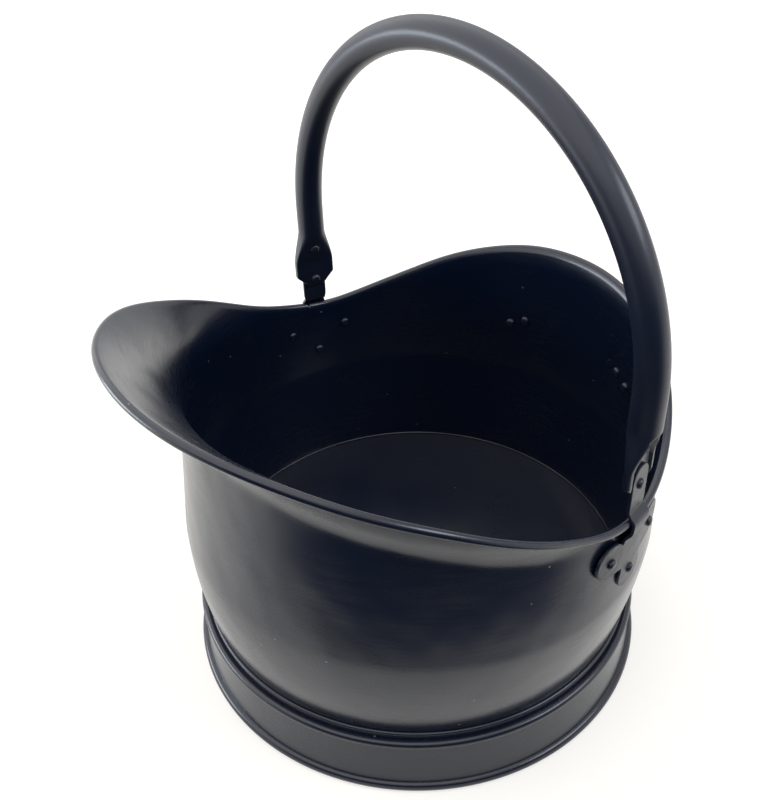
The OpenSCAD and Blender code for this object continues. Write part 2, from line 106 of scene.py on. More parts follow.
def grid_quads(rows: int, cols: int, close_rows: bool = False, close_cols: bool = True) -> Array:
    """Joins a grid of points with quads.

    Args:
        rows: number of rings.
        cols: number of points in each ring.
        close_rows: whether the last ring meets the first.
        close_cols: whether each ring's last point meets its first.

    Returns:
        (m, 4) point numbers: point (i, j) has number i * cols + j.
    """
    steps = np.arange(rows if close_rows else rows - 1), np.arange(cols if close_cols else cols - 1)
    i, j = np.meshgrid(*steps, indexing="ij")
    below, beside = (i + 1) % rows, (j + 1) % cols
    corners = [i * cols + j, i * cols + beside, below * cols + beside, below * cols + j]
    return np.stack(corners, -1).reshape(-1, 4)


def skin_rings(rings: Array, wear: Array, closed: bool) -> Skin:
    """Makes a closed skin of a stack of rings.

    Args:
        rings: (k, m, 3) points, ring by ring.
        wear: (k, m) rubbing at each point.
        closed: True where the last ring meets the first. Otherwise both ends are closed
            by a fan of triangles round the mean of the end ring.

    Returns:
        The skin, faces outwards.
    """
    rows, cols = rings.shape[:2]
    points, quads = rings.reshape(-1, 3), grid_quads(rows, cols, closed)
    if closed:
        return Skin(points, quads, np.zeros((0, 3), int), wear.reshape(-1)).outward()
    step, count = np.arange(cols), rows * cols
    ahead = (step + 1) % cols
    last = (rows - 1) * cols
    first_fan = np.stack([np.full(cols, count), ahead, step], -1)
    last_fan = np.stack([np.full(cols, count + 1), last + step, last + ahead], -1)
    poles = np.stack([rings[0].mean(0), rings[-1].mean(0)])
    pole_wear = np.array([wear[0].mean(), wear[-1].mean()])
    return Skin(
        np.concatenate([points, poles]),
        quads,
        np.concatenate([first_fan, last_fan]),
        np.concatenate([wear.reshape(-1), pole_wear]),
    ).outward()


def join_skins(skins: list[Skin]) -> Skin:
    """Puts several skins side by side in one.

    Args:
        skins: the skins.

    Returns:
        One skin, in which the later ones' point numbers are moved up.
    """
    starts = np.cumsum([0] + [len(s.points) for s in skins[:-1]])
    return Skin(
        np.concatenate([s.points for s in skins]),
        np.concatenate([s.quads + k for s, k in zip(skins, starts)]),
        np.concatenate([s.tris + k for s, k in zip(skins, starts)]),
        np.concatenate([s.wear for s in skins]),
    )


def full_turn(count: int) -> Array:
    """Even angles round a circle, from 0."""
    return np.linspace(0, 2 * math.pi, count, endpoint=False)


def unit(ways: Array) -> Array:
    """Ways of length 1: each divided by the root of its summed squares."""
    return ways / np.linalg.norm(ways, axis=-1, keepdims=True)


def from_lip(radius: Array, turn: Array, height: Array) -> Array:
    """Places (r sin t, -r cos t, z) at turns t from the pouring lip."""
    return np.stack(np.broadcast_arrays(radius * np.sin(turn), -radius * np.cos(turn), height), -1)


def lathe(profile: Array, wear: Array, sides: int, closed: bool) -> Skin:
    """Turns a profile round the Z axis: (r, z) becomes (r cos t, r sin t, z).

    Args:
        profile: (k, 2) radii and heights along the profile.
        wear: (k,) rubbing along it.
        sides: number of stations round the axis.
        closed: True where the profile closes on itself, False where it ends near the axis.

    Returns:
        The skin, faces outwards.
    """
    turn = full_turn(sides)
    radius, height = profile[:, :1], profile[:, 1:]
    flat = np.ones_like(turn)
    rings = np.stack([radius * np.cos(turn), radius * np.sin(turn), height * flat], -1)
    return skin_rings(rings, wear[:, None] * flat, closed)


def arc(centre: Pair, radius: float, start_deg: float, end_deg: float,
        count: int) -> Array:
    """Points of an arc: centre + radius * (cos a, sin a).

    Args:
        centre: its middle.
        radius: its radius.
        start_deg: first angle in degrees.
        end_deg: last angle in degrees.
        count: number of points.

    Returns:
        (count, 2) points.
    """
    turn = np.radians(np.linspace(start_deg, end_deg, count))
    return np.array(centre) + radius * np.stack([np.cos(turn), np.sin(turn)], -1)


def bezier(handles: list, count: int) -> Array:
    """Cubic curve: its four handles weighted by (1-t)^3, 3(1-t)^2 t, 3(1-t) t^2 and t^3.

    Args:
        handles: four places, of which the curve passes through the first and the last.
        count: number of points.

    Returns:
        (count, 2) or (count, 3) points.
    """
    t = np.linspace(0, 1, count)[:, None]
    weights = [(1 - t) ** 3, 3 * (1 - t) ** 2 * t, 3 * (1 - t) * t**2, t**3]
    return sum(w * np.asarray(h, float) for w, h in zip(weights, handles))


def oblong(turn: Array, half_u: Array, half_v: Array, square: Array) -> tuple[Array, Array]:
    """Points of a rounded oblong: u cos(a)^(2/e) and v sin(a)^(2/e), signs kept.

    Args:
        turn: angles a round it.
        half_u: half of its length u.
        half_v: half of its width v.
        square: the power e. 2 makes an ellipse, more makes it squarer.

    Returns:
        The points' distances along its length and across it.
    """
    u, v, power = np.cos(turn), np.sin(turn), 2 / square
    return half_u * np.sign(u) * np.abs(u) ** power, half_v * np.sign(v) * np.abs(v) ** power


def ease(value: Array, low: float, high: float) -> Array:
    """Smooth step: 0 below low, 1 above high, and 3s^2 - 2s^3 of the share s between."""
    share = np.clip((value - low) / (high - low), 0, 1)
    return share * share * (3 - 2 * share)


def ripple(points: Array, wavelength: float, seed: int) -> Array:
    """Uneven surface of worked sheet: the scaled sum of cosines of plane waves that run in
    random directions through the points.

    Args:
        points: (..., 3) places.
        wavelength: distance between crests.
        seed: picks the waves.

    Returns:
        (...) heights with a spread of about 1.
    """
    draw = np.random.default_rng(seed)
    ways = draw.normal(size=(WAVES, 3))
    ways *= 2 * math.pi / wavelength / np.linalg.norm(ways, axis=1, keepdims=True)
    ways *= draw.uniform(*WAVE_SPREAD, size=(WAVES, 1))
    phases = draw.uniform(0, 2 * math.pi, WAVES)
    return np.cos(points @ ways.T + phases).sum(-1) * math.sqrt(2 / WAVES)


# Objects


def make_mesh(name: str, points: Array, faces: list, material: bpy.types.Material,
              **marks: Array) -> bpy.types.Mesh:
    """Makes a mesh of one material.

    Args:
        name: its name.
        points: (n, 3) places.
        faces: the point numbers of each face.
        material: what it is made of.
        **marks: (n,) numbers kept at its points, by the attribute's name.

    Returns:
        The mesh.
    """
    mesh = bpy.data.meshes.new(name)
    mesh.from_pydata(points.tolist(), [], faces)
    for mark, values in marks.items():
        kept = mesh.attributes.new(mark, "FLOAT", "POINT")
        kept.data.foreach_set("value", values.astype(np.float32))
    mesh.materials.append(material)
    return mesh


def add_object(data: bpy.types.ID) -> bpy.types.Object:
    """Sets an object at the origin of the scene.

    Args:
        data: its mesh, lamp or camera, whose name it takes.

    Returns:
        The object.
    """
    made = bpy.data.objects.new(data.name, data)
    bpy.context.scene.collection.objects.link(made)
    return made


# Finishes


class Coat(Enum):
    """The four coats of paint, and the name of each one's material."""

    DRUM = "drum_paint"
    HOOP = "hoop_paint"
    BRACKET = "bracket_paint"
    RIVET = "rivet_paint"


class Tree:
    """A material's nodes, added one at a time and linked as they are added."""

    def __init__(self, material: bpy.types.Material | bpy.types.World) -> None:
        """Empties the material's node tree."""
        material.use_nodes = True
        self.nodes, self.links = material.node_tree.nodes, material.node_tree.links
        self.nodes.clear()

    def add(self, kind: str, inputs: dict, **settings: object) -> bpy.types.Node:
        """Adds a node.

        Args:
            kind: Blender's name for the node's type.
            inputs: values or output sockets, by the input's name or number.
            **settings: properties of the node itself.

        Returns:
            The node.
        """
        node = self.nodes.new(kind)
        for key, value in settings.items():
            setattr(node, key, value)
        for key, value in inputs.items():
            socket = node.inputs[key]
            if isinstance(value, Socket):
                self.links.new(value, socket)
            else:
                socket.default_value = value
        return node

    def place(self) -> Socket:
        """Places in the object's own coordinates, which are the frame's."""
        return self.add("ShaderNodeTexCoord", {}).outputs["Object"]

    def mark(self, name: str) -> Socket:
        """The numbers that a mesh keeps at its points under a name."""
        return self.add("ShaderNodeAttribute", {}, attribute_name=name).outputs["Fac"]

    def noise(self, place: Socket, size: float, detail: float) -> Socket:
        """Cloudy noise whose patches are about size metres across."""
        inputs = {"Vector": place, "Scale": 1 / size, "Detail": detail}
        return self.add("ShaderNodeTexNoise", inputs).outputs[0]

    def span(self, value: Socket, source: tuple, target: tuple = (0.0, 1.0)) -> Socket:
        """Maps a value from the source range to the target range, held at its ends."""
        limits = {1: source[0], 2: source[1], 3: target[0], 4: target[1]}
        return self.add("ShaderNodeMapRange", {0: value, **limits}).outputs[0]

    def math(self, kind: str, first: object, second: object) -> Socket:
        """Sum, product or other Math of two values."""
        return self.add("ShaderNodeMath", {0: first, 1: second}, operation=kind).outputs[0]

    def mix(self, share: object, first: object, second: object) -> Socket:
        """Mix of two colours."""
        colours = {0: share, 6: first, 7: second}
        return self.add("ShaderNodeMix", colours, data_type="RGBA").outputs[2]

    def bump(self, height: Socket, depth: float, under: Socket | None) -> Socket:
        """Bump of a height field.

        Args:
            height: the field.
            depth: height of its crests in metres.
            under: the normal that it is laid over, if there is one.

        Returns:
            The normal.
        """
        inputs = {"Height": height, "Distance": depth, "Strength": 1.0}
        if under is not None:
            inputs["Normal"] = under
        return self.add("ShaderNodeBump", inputs).outputs[0]

    def seen(self) -> Socket:
        """Tells the rays that see a surface from those that gather light.

        Returns:
            1 for rays from the camera, a reflection or a refraction, otherwise 0.
        """
        path = self.add("ShaderNodeLightPath", {}).outputs
        seen = self.math("ADD", path["Is Camera Ray"], path["Is Glossy Ray"])
        return self.math("MINIMUM", self.math("ADD", seen, path["Is Transmission Ray"]), 1.0)

    def surface(self, shader: bpy.types.Node, kind: str = "ShaderNodeOutputMaterial") -> None:
        """Ends the tree in its output node."""
        self.add(kind, {"Surface": shader.outputs[0]})


def rgba(red: float, green: float, blue: float) -> Rgba:
    """A linear colour with full cover."""
    return (red, green, blue, 1.0)


@dataclass(frozen=True)
class Enamel:
    """Satin black stove enamel over steel.

    Attributes:
        coat: which of the four coats it is.
        colour: its colour.
        tint: the colour of its thinner patches.
        patch_dents: size of those patches, in distances between hammer marks.
        patch_span: noise between which colour goes over to tint.
        gloss: strength of the reflection on its face.
        clear: share of the clear, harder skin on top.
        clear_rough: roughness of that skin.
        rough: lowest and highest roughness of the paint.
        rough_span: sum of the patches' and the lines' noise between which it goes over.
        dent_size: distance between hammer marks.
        dent_depth: their depth.
        brush_size: distance between the fine lines that run round the piece.
        brush_depth: their depth.
        brush_draw: how the noise is squeezed along each axis to draw the lines out.
        peel_size: grain of the sprayed paint.
        peel_depth: its depth.
        bare: colour where edges are rubbed.
        rub: how much of a worn edge is rubbed.
        rub_shine: how much smoother rubbed paint is.
        chip_size: size of the rubbed spots.
        chip_span: noise between which paint goes over to a rubbed spot.
        specks: radius of the specks of dust, in distances between them, or 0 for none.
        speck_core: share of that radius that is fully covered.
        speck_cover: how much a speck hides.
        speck_gap: distance between specks.
        speck_colour: their colour.
    """

    coat: Coat
    colour: Rgba = rgba(0.0024, 0.0060, 0.0190)
    tint: Rgba = rgba(0.0036, 0.0066, 0.0175)
    patch_dents: float = 1.7
    patch_span: Pair = (0.35, 0.65)
    gloss: float = 0.37
    clear: float = 0.28
    clear_rough: float = 0.2
    rough: Pair = (0.22, 0.30)
    rough_span: Pair = (0.7, 1.3)
    dent_size: float = 0.034
    dent_depth: float = 0.0003
    brush_size: float = 0.0022
    brush_depth: float = 0.00002
    brush_draw: Triple = (0.06, 0.06, 1.0)
    peel_size: float = 0.0011
    peel_depth: float = 0.00002
    bare: Rgba = rgba(0.022, 0.023, 0.028)
    rub: float = 0.22
    rub_shine: float = 0.10
    chip_size: float = 0.004
    chip_span: Pair = (0.42, 0.62)
    specks: float = 0.0
    speck_core: float = 0.6
    speck_cover: float = 0.55
    speck_gap: float = 0.019
    speck_colour: Rgba = rgba(0.30, 0.29, 0.27)

    def build(self) -> bpy.types.Material:
        """Makes the material.

        Returns:
            Paint whose colour and roughness drift in patches, with hammer marks, brushed
            lines and orange peel as bump, rubbed edges where the piece's wear says so,
            and a few specks of dust.
        """
        material = bpy.data.materials.new(self.coat.value)
        tree = Tree(material)
        place = tree.place()
        drawn = {"Vector": place, "Scale": self.brush_draw}
        patches = tree.noise(place, self.dent_size * self.patch_dents, detail=3.0)
        dents = tree.noise(place, self.dent_size, detail=1.5)
        round_ways = tree.add("ShaderNodeMapping", drawn).outputs[0]
        lines = tree.noise(round_ways, self.brush_size, detail=3.0)
        peel = tree.noise(place, self.peel_size, detail=2.0)

        colour = tree.mix(tree.span(patches, self.patch_span), self.colour, self.tint)
        chips = tree.span(tree.noise(place, self.chip_size, detail=4.0), self.chip_span)
        rubbed = tree.math("MULTIPLY", tree.math("MULTIPLY", tree.mark("wear"), chips), self.rub)
        colour = tree.mix(rubbed, colour, self.bare)
        if self.specks > 0:
            cells = {"Vector": place, "Scale": 1 / self.speck_gap}
            near = tree.add("ShaderNodeTexVoronoi", cells).outputs[0]
            speck = (self.specks * self.speck_core, self.specks)
            dust = tree.span(near, speck, (self.speck_cover, 0.0))
            colour = tree.mix(dust, colour, self.speck_colour)

        drift = tree.span(tree.math("ADD", patches, lines), self.rough_span, self.rough)
        rough = tree.math("SUBTRACT", drift, tree.math("MULTIPLY", rubbed, self.rub_shine))
        face = None
        depths = self.dent_depth, self.brush_depth, self.peel_depth
        for height, depth in zip((dents, lines, peel), depths):
            face = tree.bump(height, depth, face)
        paint = {
            "Base Color": colour,
            "Roughness": rough,
            "Specular IOR Level": self.gloss,
            "Coat Weight": self.clear,
            "Coat Roughness": self.clear_rough,
            "Normal": face,
            "Coat Normal": face,
        }
        tree.surface(tree.add("ShaderNodeBsdfPrincipled", paint))
        return material


class PaintShop:
    """Makes each coat once and hands it out."""

    def __init__(self, finishes: tuple[Enamel, ...]) -> None:
        """Makes the materials of the given finishes."""
        self.materials = {finish.coat: finish.build() for finish in finishes}

    def dress(self, name: str, skin: Skin, coat: Coat, nodes: tuple[str, ...]) -> bpy.types.Object:
        """Turns a skin into a painted piece that rides on the frame.

        Args:
            name: the piece's name.
            skin: its surface.
            coat: its paint.
            nodes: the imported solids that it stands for.

        Returns:
            The piece.
        """
        faces = skin.quads.tolist() + skin.tris.tolist()
        mesh = make_mesh(name, skin.points, faces, self.materials[coat], wear=skin.wear)
        mesh.polygons.foreach_set("use_smooth", np.ones(len(mesh.polygons), bool))
        mesh.set_sharp_from_angle(angle=CREASE_ANGLE)
        piece = add_object(mesh)
        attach(piece, "root")
        if nodes:
            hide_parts(*nodes)
        log.info("%s: %d faces in %s", name, len(mesh.polygons), coat.value)
        return piece


# The drum and its floor


@dataclass(frozen=True)
class Flare:
    """How the wall goes out to the rolled rim, at one or more angles from the lip.

    Attributes:
        height: height of the flare.
        slant: how far it goes out for each step up, where it meets the roll.
        root: angle on the roll's circle at which the wall's outer face meets it.
        end_r: radius of that place.
        end_z: its height.
    """

    height: Array
    slant: Array
    root: Array
    end_r: Array
    end_z: Array

    def share(self, z: Array) -> Array:
        """How far up the flare a height lies, from 0 below it to 1 at the roll."""
        return np.clip((z - self.end_z) / self.height + 1, 0, 1)


@dataclass
class Drum:
    """The sheet-steel drum with its pushed-out lip and rolled rim.

    Attributes:
        wave_h: height of the wall's ripple, over wavelengths wave_l and fine_wave_l.
        fine_share: share of the finer waves in it.
        calm_h: height over which it dies out at the base ring and under the roll.
        rim_wave_h: rise and fall of the rim, over wavelengths rim_wave_l.
        joint_turn: where the wire of the roll is joined, from the lip.
        joint_w: width of that joint.
        joint_depth: how far the roll is pinched there.
        joint_soft: sine of the way round the roll, half a turn from end to end, at which
            the pinch is full.
        joint_reach: how many widths beside the joint the stations are close.
        joint_clear: angle beside the joint that has no even stations.
        crest_turn: how far the rubbed crest is turned outwards on the roll.
        row_power: how much closer the wall's rows lie towards the rim.
    """

    sheet_t: float = 1.2 * MM
    fit_gap: float = 0.05 * MM
    drum_r: float = 160.3 * MM
    neck_in: float = 11.5 * MM
    belly_h: float = 69.3 * MM
    front_pinch: float = 5.3 * MM
    throat_in: float = 2.2 * MM
    front_lean: float = 4.6 * MM
    rim_in: float = 0.7 * MM
    lip_reach: float = 27.3 * MM
    dip_z: float = 176.6 * MM
    lip_rise: float = 103 * MM
    dip_y: float = 44 * MM
    back_rise: float = 54.6 * MM
    lip_ease: float = 60 * MM
    lip_run: float = 110 * MM
    lip_slope: float = 0.38
    back_ease: float = 32 * MM
    back_run: float = 45 * MM
    back_slope: float = 0.66
    flare_h: float = 12 * MM
    flare_run: float = 2.0
    belly_power: float = 1.2
    flare_power: float = 1.4
    bead_r: float = 2.6 * MM
    floor_z: float = 46 * MM
    floor_flange: float = 8 * MM
    collar_rise: float = 1.8 * MM
    wave_h: float = 0.07 * MM
    wave_l: float = 52 * MM
    fine_wave_l: float = 24 * MM
    fine_share: float = 0.5
    calm_h: float = 20 * MM
    rim_wave_h: float = 0.35 * MM
    rim_wave_l: float = 85 * MM
    joint_turn: float = math.radians(-100.1)
    joint_w: float = 0.8 * MM
    joint_depth: float = 0.5
    joint_soft: float = 0.7
    joint_reach: int = 5
    joint_clear: float = 0.03
    joint_points: int = 31
    crest_turn: float = 0.5
    stations: int = 480
    wall_rows: int = 64
    row_power: float = 1.4
    roll_points: int = 26
    curve_points: int = 120

    @property
    def neck_r(self) -> float:
        """Radius where the drum stands in the base ring."""
        return self.drum_r - self.neck_in

    @property
    def rim_r(self) -> float:
        """Radius of the rim's back half."""
        return self.drum_r - self.rim_in

    @property
    def neck_z(self) -> float:
        """Height at which the drum leaves the base ring."""
        return self.floor_z + self.collar_rise

    @property
    def full_z(self) -> float:
        """Height of the drum's fullest part."""
        return self.neck_z + self.belly_h

    @property
    def seat_z(self) -> float:
        """Height of the drum's lower edge, inside the base ring."""
        return self.floor_z - self.floor_flange

    def rim_height(self, y: Array) -> Array:
        """Height of the rim's middle: two cubic curves that meet level at the dip.

        Args:
            y: places along Y.

        Returns:
            The heights.
        """
        lip_y, lip_z = -(self.rim_r + self.lip_reach), self.dip_z + self.lip_rise
        back_z = self.dip_z + self.back_rise
        dip = (self.dip_y, self.dip_z)
        front = [dip, (self.dip_y - self.lip_ease, self.dip_z),
                 (lip_y + self.lip_run, lip_z - self.lip_slope * self.lip_run), (lip_y, lip_z)]
        back = [dip, (self.dip_y + self.back_ease, self.dip_z),
                (self.rim_r - self.back_run, back_z - self.back_slope * self.back_run),
                (self.rim_r, back_z)]
        curves = [bezier(front, self.curve_points)[::-1], bezier(back, self.curve_points)[1:]]
        line = np.concatenate(curves)
        return np.interp(y, line[:, 0], line[:, 1])

    def rim_radius(self, turn: Array) -> Array:
        """Radius of the rim: two half circles of one radius, the front one pushed forward
        by lip_reach, joined by straight sides.

        Args:
            turn: angles from the lip.

        Returns:
            The radii.
        """
        least = 1e-4
        ahead, aside = np.cos(turn), np.maximum(np.abs(np.sin(turn)), least)
        side = self.rim_r / aside
        lip = self.lip_reach * ahead + np.sqrt(self.rim_r**2 - (self.lip_reach * aside) ** 2)
        return np.where(ahead <= 0, self.rim_r, np.where(side * ahead <= self.lip_reach, side, lip))

    def full_radius(self, turn: Array, z: Array) -> Array:
        """Outside radius of the plain wall: from its fullest part it leans in evenly with
        height, most at the front, where it is also flattened by front_pinch.

        Args:
            turn: angles from the lip.
            z: heights.

        Returns:
            The radii.
        """
        front = np.maximum(np.cos(turn), 0) ** 2
        lean = self.rim_in + self.throat_in + self.front_lean * front
        inwards = lean * (z - self.full_z) / (self.dip_z - self.full_z)
        return self.drum_r - self.front_pinch * front - inwards

    def flare(self, turn: Array, top: Array) -> Flare:
        """The flare under the rolled rim.

        Args:
            turn: angles from the lip.
            top: heights of the rim there.

        Returns:
            The flare at those angles.
        """
        rim = self.rim_radius(turn)
        height = self.flare_h + self.flare_run * np.maximum(0, rim - self.rim_r)
        slant = self.flare_power * np.maximum(0, rim - self.full_radius(turn, top)) / height
        root = math.pi + math.acos(1 - self.sheet_t / self.bead_r) - np.arctan(slant)
        end_r, end_z = rim + self.bead_r * np.cos(root), top + self.bead_r * np.sin(root)
        return Flare(height, slant, root, end_r, end_z)

    def wall_radius(self, turn: Array, z: Array, flare: Flare) -> Array:
        """Outside radius of the wall.

        The belly swells from the neck as 1 - (1 - s)^belly_power of its height s. Over the
        flare's height the wall goes out from the plain wall to the roll, as the share of
        that height raised to flare_power.

        Args:
            turn: angles from the lip.
            z: heights.
            flare: the flare at those angles.

        Returns:
            The radii.
        """
        full = self.full_radius(turn, z)
        swell = 1 - (1 - np.clip((z - self.neck_z) / self.belly_h, 0, 1)) ** self.belly_power
        opening = flare.share(z) ** self.flare_power
        return self.neck_r + (full - self.neck_r) * swell + (flare.end_r - full) * opening

    def side_radius(self, turn: float, z: float) -> float:
        """Outside radius of the wall at one angle from the lip and a height below the rim."""
        top = self.rim_height(-self.rim_radius(turn) * np.cos(turn))
        return float(self.wall_radius(turn, z, self.flare(turn, top)))

    def turns(self) -> Array:
        """Where the upright sections stand: evenly, but close together at the joint.

        Returns:
            (k, 1) angles from the lip.
        """
        even = np.linspace(-math.pi, math.pi, self.stations, endpoint=False)
        even = even[np.abs(even - self.joint_turn) > self.joint_clear]
        aside = np.linspace(-1, 1, self.joint_points) * self.joint_reach * self.joint_w / self.rim_r
        return np.unique(np.concatenate([even, self.joint_turn + aside]))[:, None]

    def skin(self) -> Skin:
        """The wall and its rolled rim as one closed sheet.

        Each upright section runs up the outside, round the roll, which turns outwards, and
        down the inside. The wall moves in and out by a ripple, and the roll is pinched at
        the joint in its wire, by a bell exp(-x^4) of the distance x from it in widths.

        Returns:
            The skin, faces outwards.
        """
        turn = self.turns()
        rim = self.rim_radius(turn)
        circle = self.rim_r * np.concatenate([np.sin(turn), np.cos(turn), 0 * turn], -1)
        sway = self.rim_wave_h * ripple(circle, self.rim_wave_l, seed=5)[:, None]
        top = self.rim_height(-rim * np.cos(turn)) + sway
        flare = self.flare(turn, top)

        share = 1 - (1 - np.linspace(0, 1, self.wall_rows)[None, :]) ** self.row_power
        z = self.neck_z + (flare.end_z - self.neck_z) * share
        wall = self.wall_radius(turn, z, flare)
        place = from_lip(wall, turn, z)
        calm = ease(z, self.neck_z, self.neck_z + self.calm_h) \
            * (1 - ease(z, flare.end_z - self.calm_h, flare.end_z))
        waves = ripple(place, self.wave_l, seed=11) \
            + self.fine_share * ripple(place, self.fine_wave_l, seed=12)
        wall = wall + self.wave_h * calm * waves

        gap = np.exp(-((turn - self.joint_turn) * self.rim_r / self.joint_w) ** 4)
        part = np.linspace(0, 1, self.roll_points)[None, :]
        last = math.pi - np.arctan(flare.slant)
        around = flare.root - 2 * math.pi + (last - flare.root + 2 * math.pi) * part
        pinch = self.joint_depth * gap * ease(np.sin(math.pi * part), 0.0, self.joint_soft)
        roll_r = self.bead_r * (1 - pinch)
        roll_out, roll_z = rim + roll_r * np.cos(around), top + roll_r * np.sin(around)

        steep = flare.slant * flare.share(z) ** (self.flare_power - 1)
        inner = (wall - self.sheet_t * np.sqrt(1 + steep**2))[:, ::-1]
        foot, foot_z = np.full_like(turn, self.neck_r), np.full_like(turn, self.seat_z)
        radius = np.concatenate([foot, wall, roll_out, inner, foot - self.sheet_t], 1)
        height = np.concatenate([foot_z, z, roll_z, z[:, ::-1], foot_z], 1)
        wear, roll = np.zeros_like(radius), 1 + self.wall_rows
        wear[:, roll:roll + self.roll_points] = np.clip(np.sin(around + self.crest_turn), 0, 1)
        return skin_rings(from_lip(radius, turn, height), wear, True)

    def build(self, shop: PaintShop) -> None:
        """Builds the drum."""
        shop.dress("drum_wall", self.skin(), Coat.DRUM, ("body_shell",))


@dataclass
class FloorPan:
    """The disc pressed into the drum's foot, and the thin fillet that seals it to the wall.

    Attributes:
        drum: the drum that it stands in.
        dish: how hollow the disc is in the middle.
        hub_r: radius at which its profile starts.
        bend: radius of its turned-down edge, in sheets.
        under_in: how far the lower face's points are set in.
        seam_r: size of the fillet.
        seam_in: how far it reaches into the wall.
        seam_wander: how much its size wanders, over wavelengths seam_wave_l.
        seam_wide: its width in sizes.
        seam_high: its height in sizes.
        seam_up: height of its middle over the floor in sizes.
        seam_wear: how rubbed it is.
    """

    drum: Drum
    dish: float = 0.5 * MM
    hub_r: float = 2 * MM
    bend: float = 1.2
    under_in: float = 0.3 * MM
    disc_rings: int = 60
    sides: int = 256
    seam_r: float = 0.9 * MM
    seam_in: float = 0.2 * MM
    seam_wander: float = 0.16
    seam_wave_l: float = 60 * MM
    seam_wide: float = 1.2
    seam_high: float = 0.55
    seam_up: float = 0.25
    seam_wear: float = 0.6
    seam_sides: int = 720

    def disc(self) -> Skin:
        """The floor: a disc turned down at its edge, very slightly hollow in the middle.

        The profile starts and ends near the axis, and its outer corner is an arc.

        Returns:
            The skin, faces outwards.
        """
        drum, sheet = self.drum, self.drum.sheet_t
        edge = drum.neck_r - sheet - 2 * drum.fit_gap
        bend = self.bend * sheet
        across = np.linspace(self.hub_r, edge - bend, self.disc_rings)
        height = drum.floor_z - self.dish * (1 - (across / edge) ** 2) ** 2
        profile = np.concatenate([
            np.stack([across, height], -1),
            arc((edge - bend, drum.floor_z - bend), bend, CORNER_DEG, 0, count=8),
            [[edge, drum.seat_z], [edge - sheet, drum.seat_z], [edge - sheet, drum.floor_z - bend]],
            np.stack([across[::-1] - self.under_in, height[::-1] - sheet], -1),
        ])
        return lathe(profile, np.zeros(len(profile)), self.sides, False)

    def seam(self) -> Skin:
        """The fillet: a ring of half-oval section that stands in from the wall over the
        floor's edge. Its size wanders a little on its way round.

        Returns:
            The skin, faces outwards.
        """
        turn = full_turn(self.seam_sides)[:, None]
        wall_r = self.drum.neck_r - self.drum.sheet_t + self.seam_in
        circle = wall_r * np.concatenate([np.cos(turn), np.sin(turn), 0 * turn], -1)
        wander = self.seam_wander * ripple(circle, self.seam_wave_l, seed=21)[:, None]
        size = self.seam_r * (1 + wander)
        lobe = arc((0, 0), 1, 90, 270, count=9)
        radius = wall_r + size * lobe[:, 0] * self.seam_wide
        height = self.drum.floor_z + size * (self.seam_high * lobe[:, 1] + self.seam_up)
        rings = np.stack([radius * np.cos(turn), radius * np.sin(turn), height], -1)
        return skin_rings(rings, np.full(rings.shape[:2], self.seam_wear), True)

    def build(self, shop: PaintShop) -> None:
        """Builds the floor and its seam."""
        shop.dress("floor_disc", self.disc(), Coat.DRUM, ("floor_pan",))
        shop.dress("floor_seam", self.seam(), Coat.DRUM, ())


# The base ring


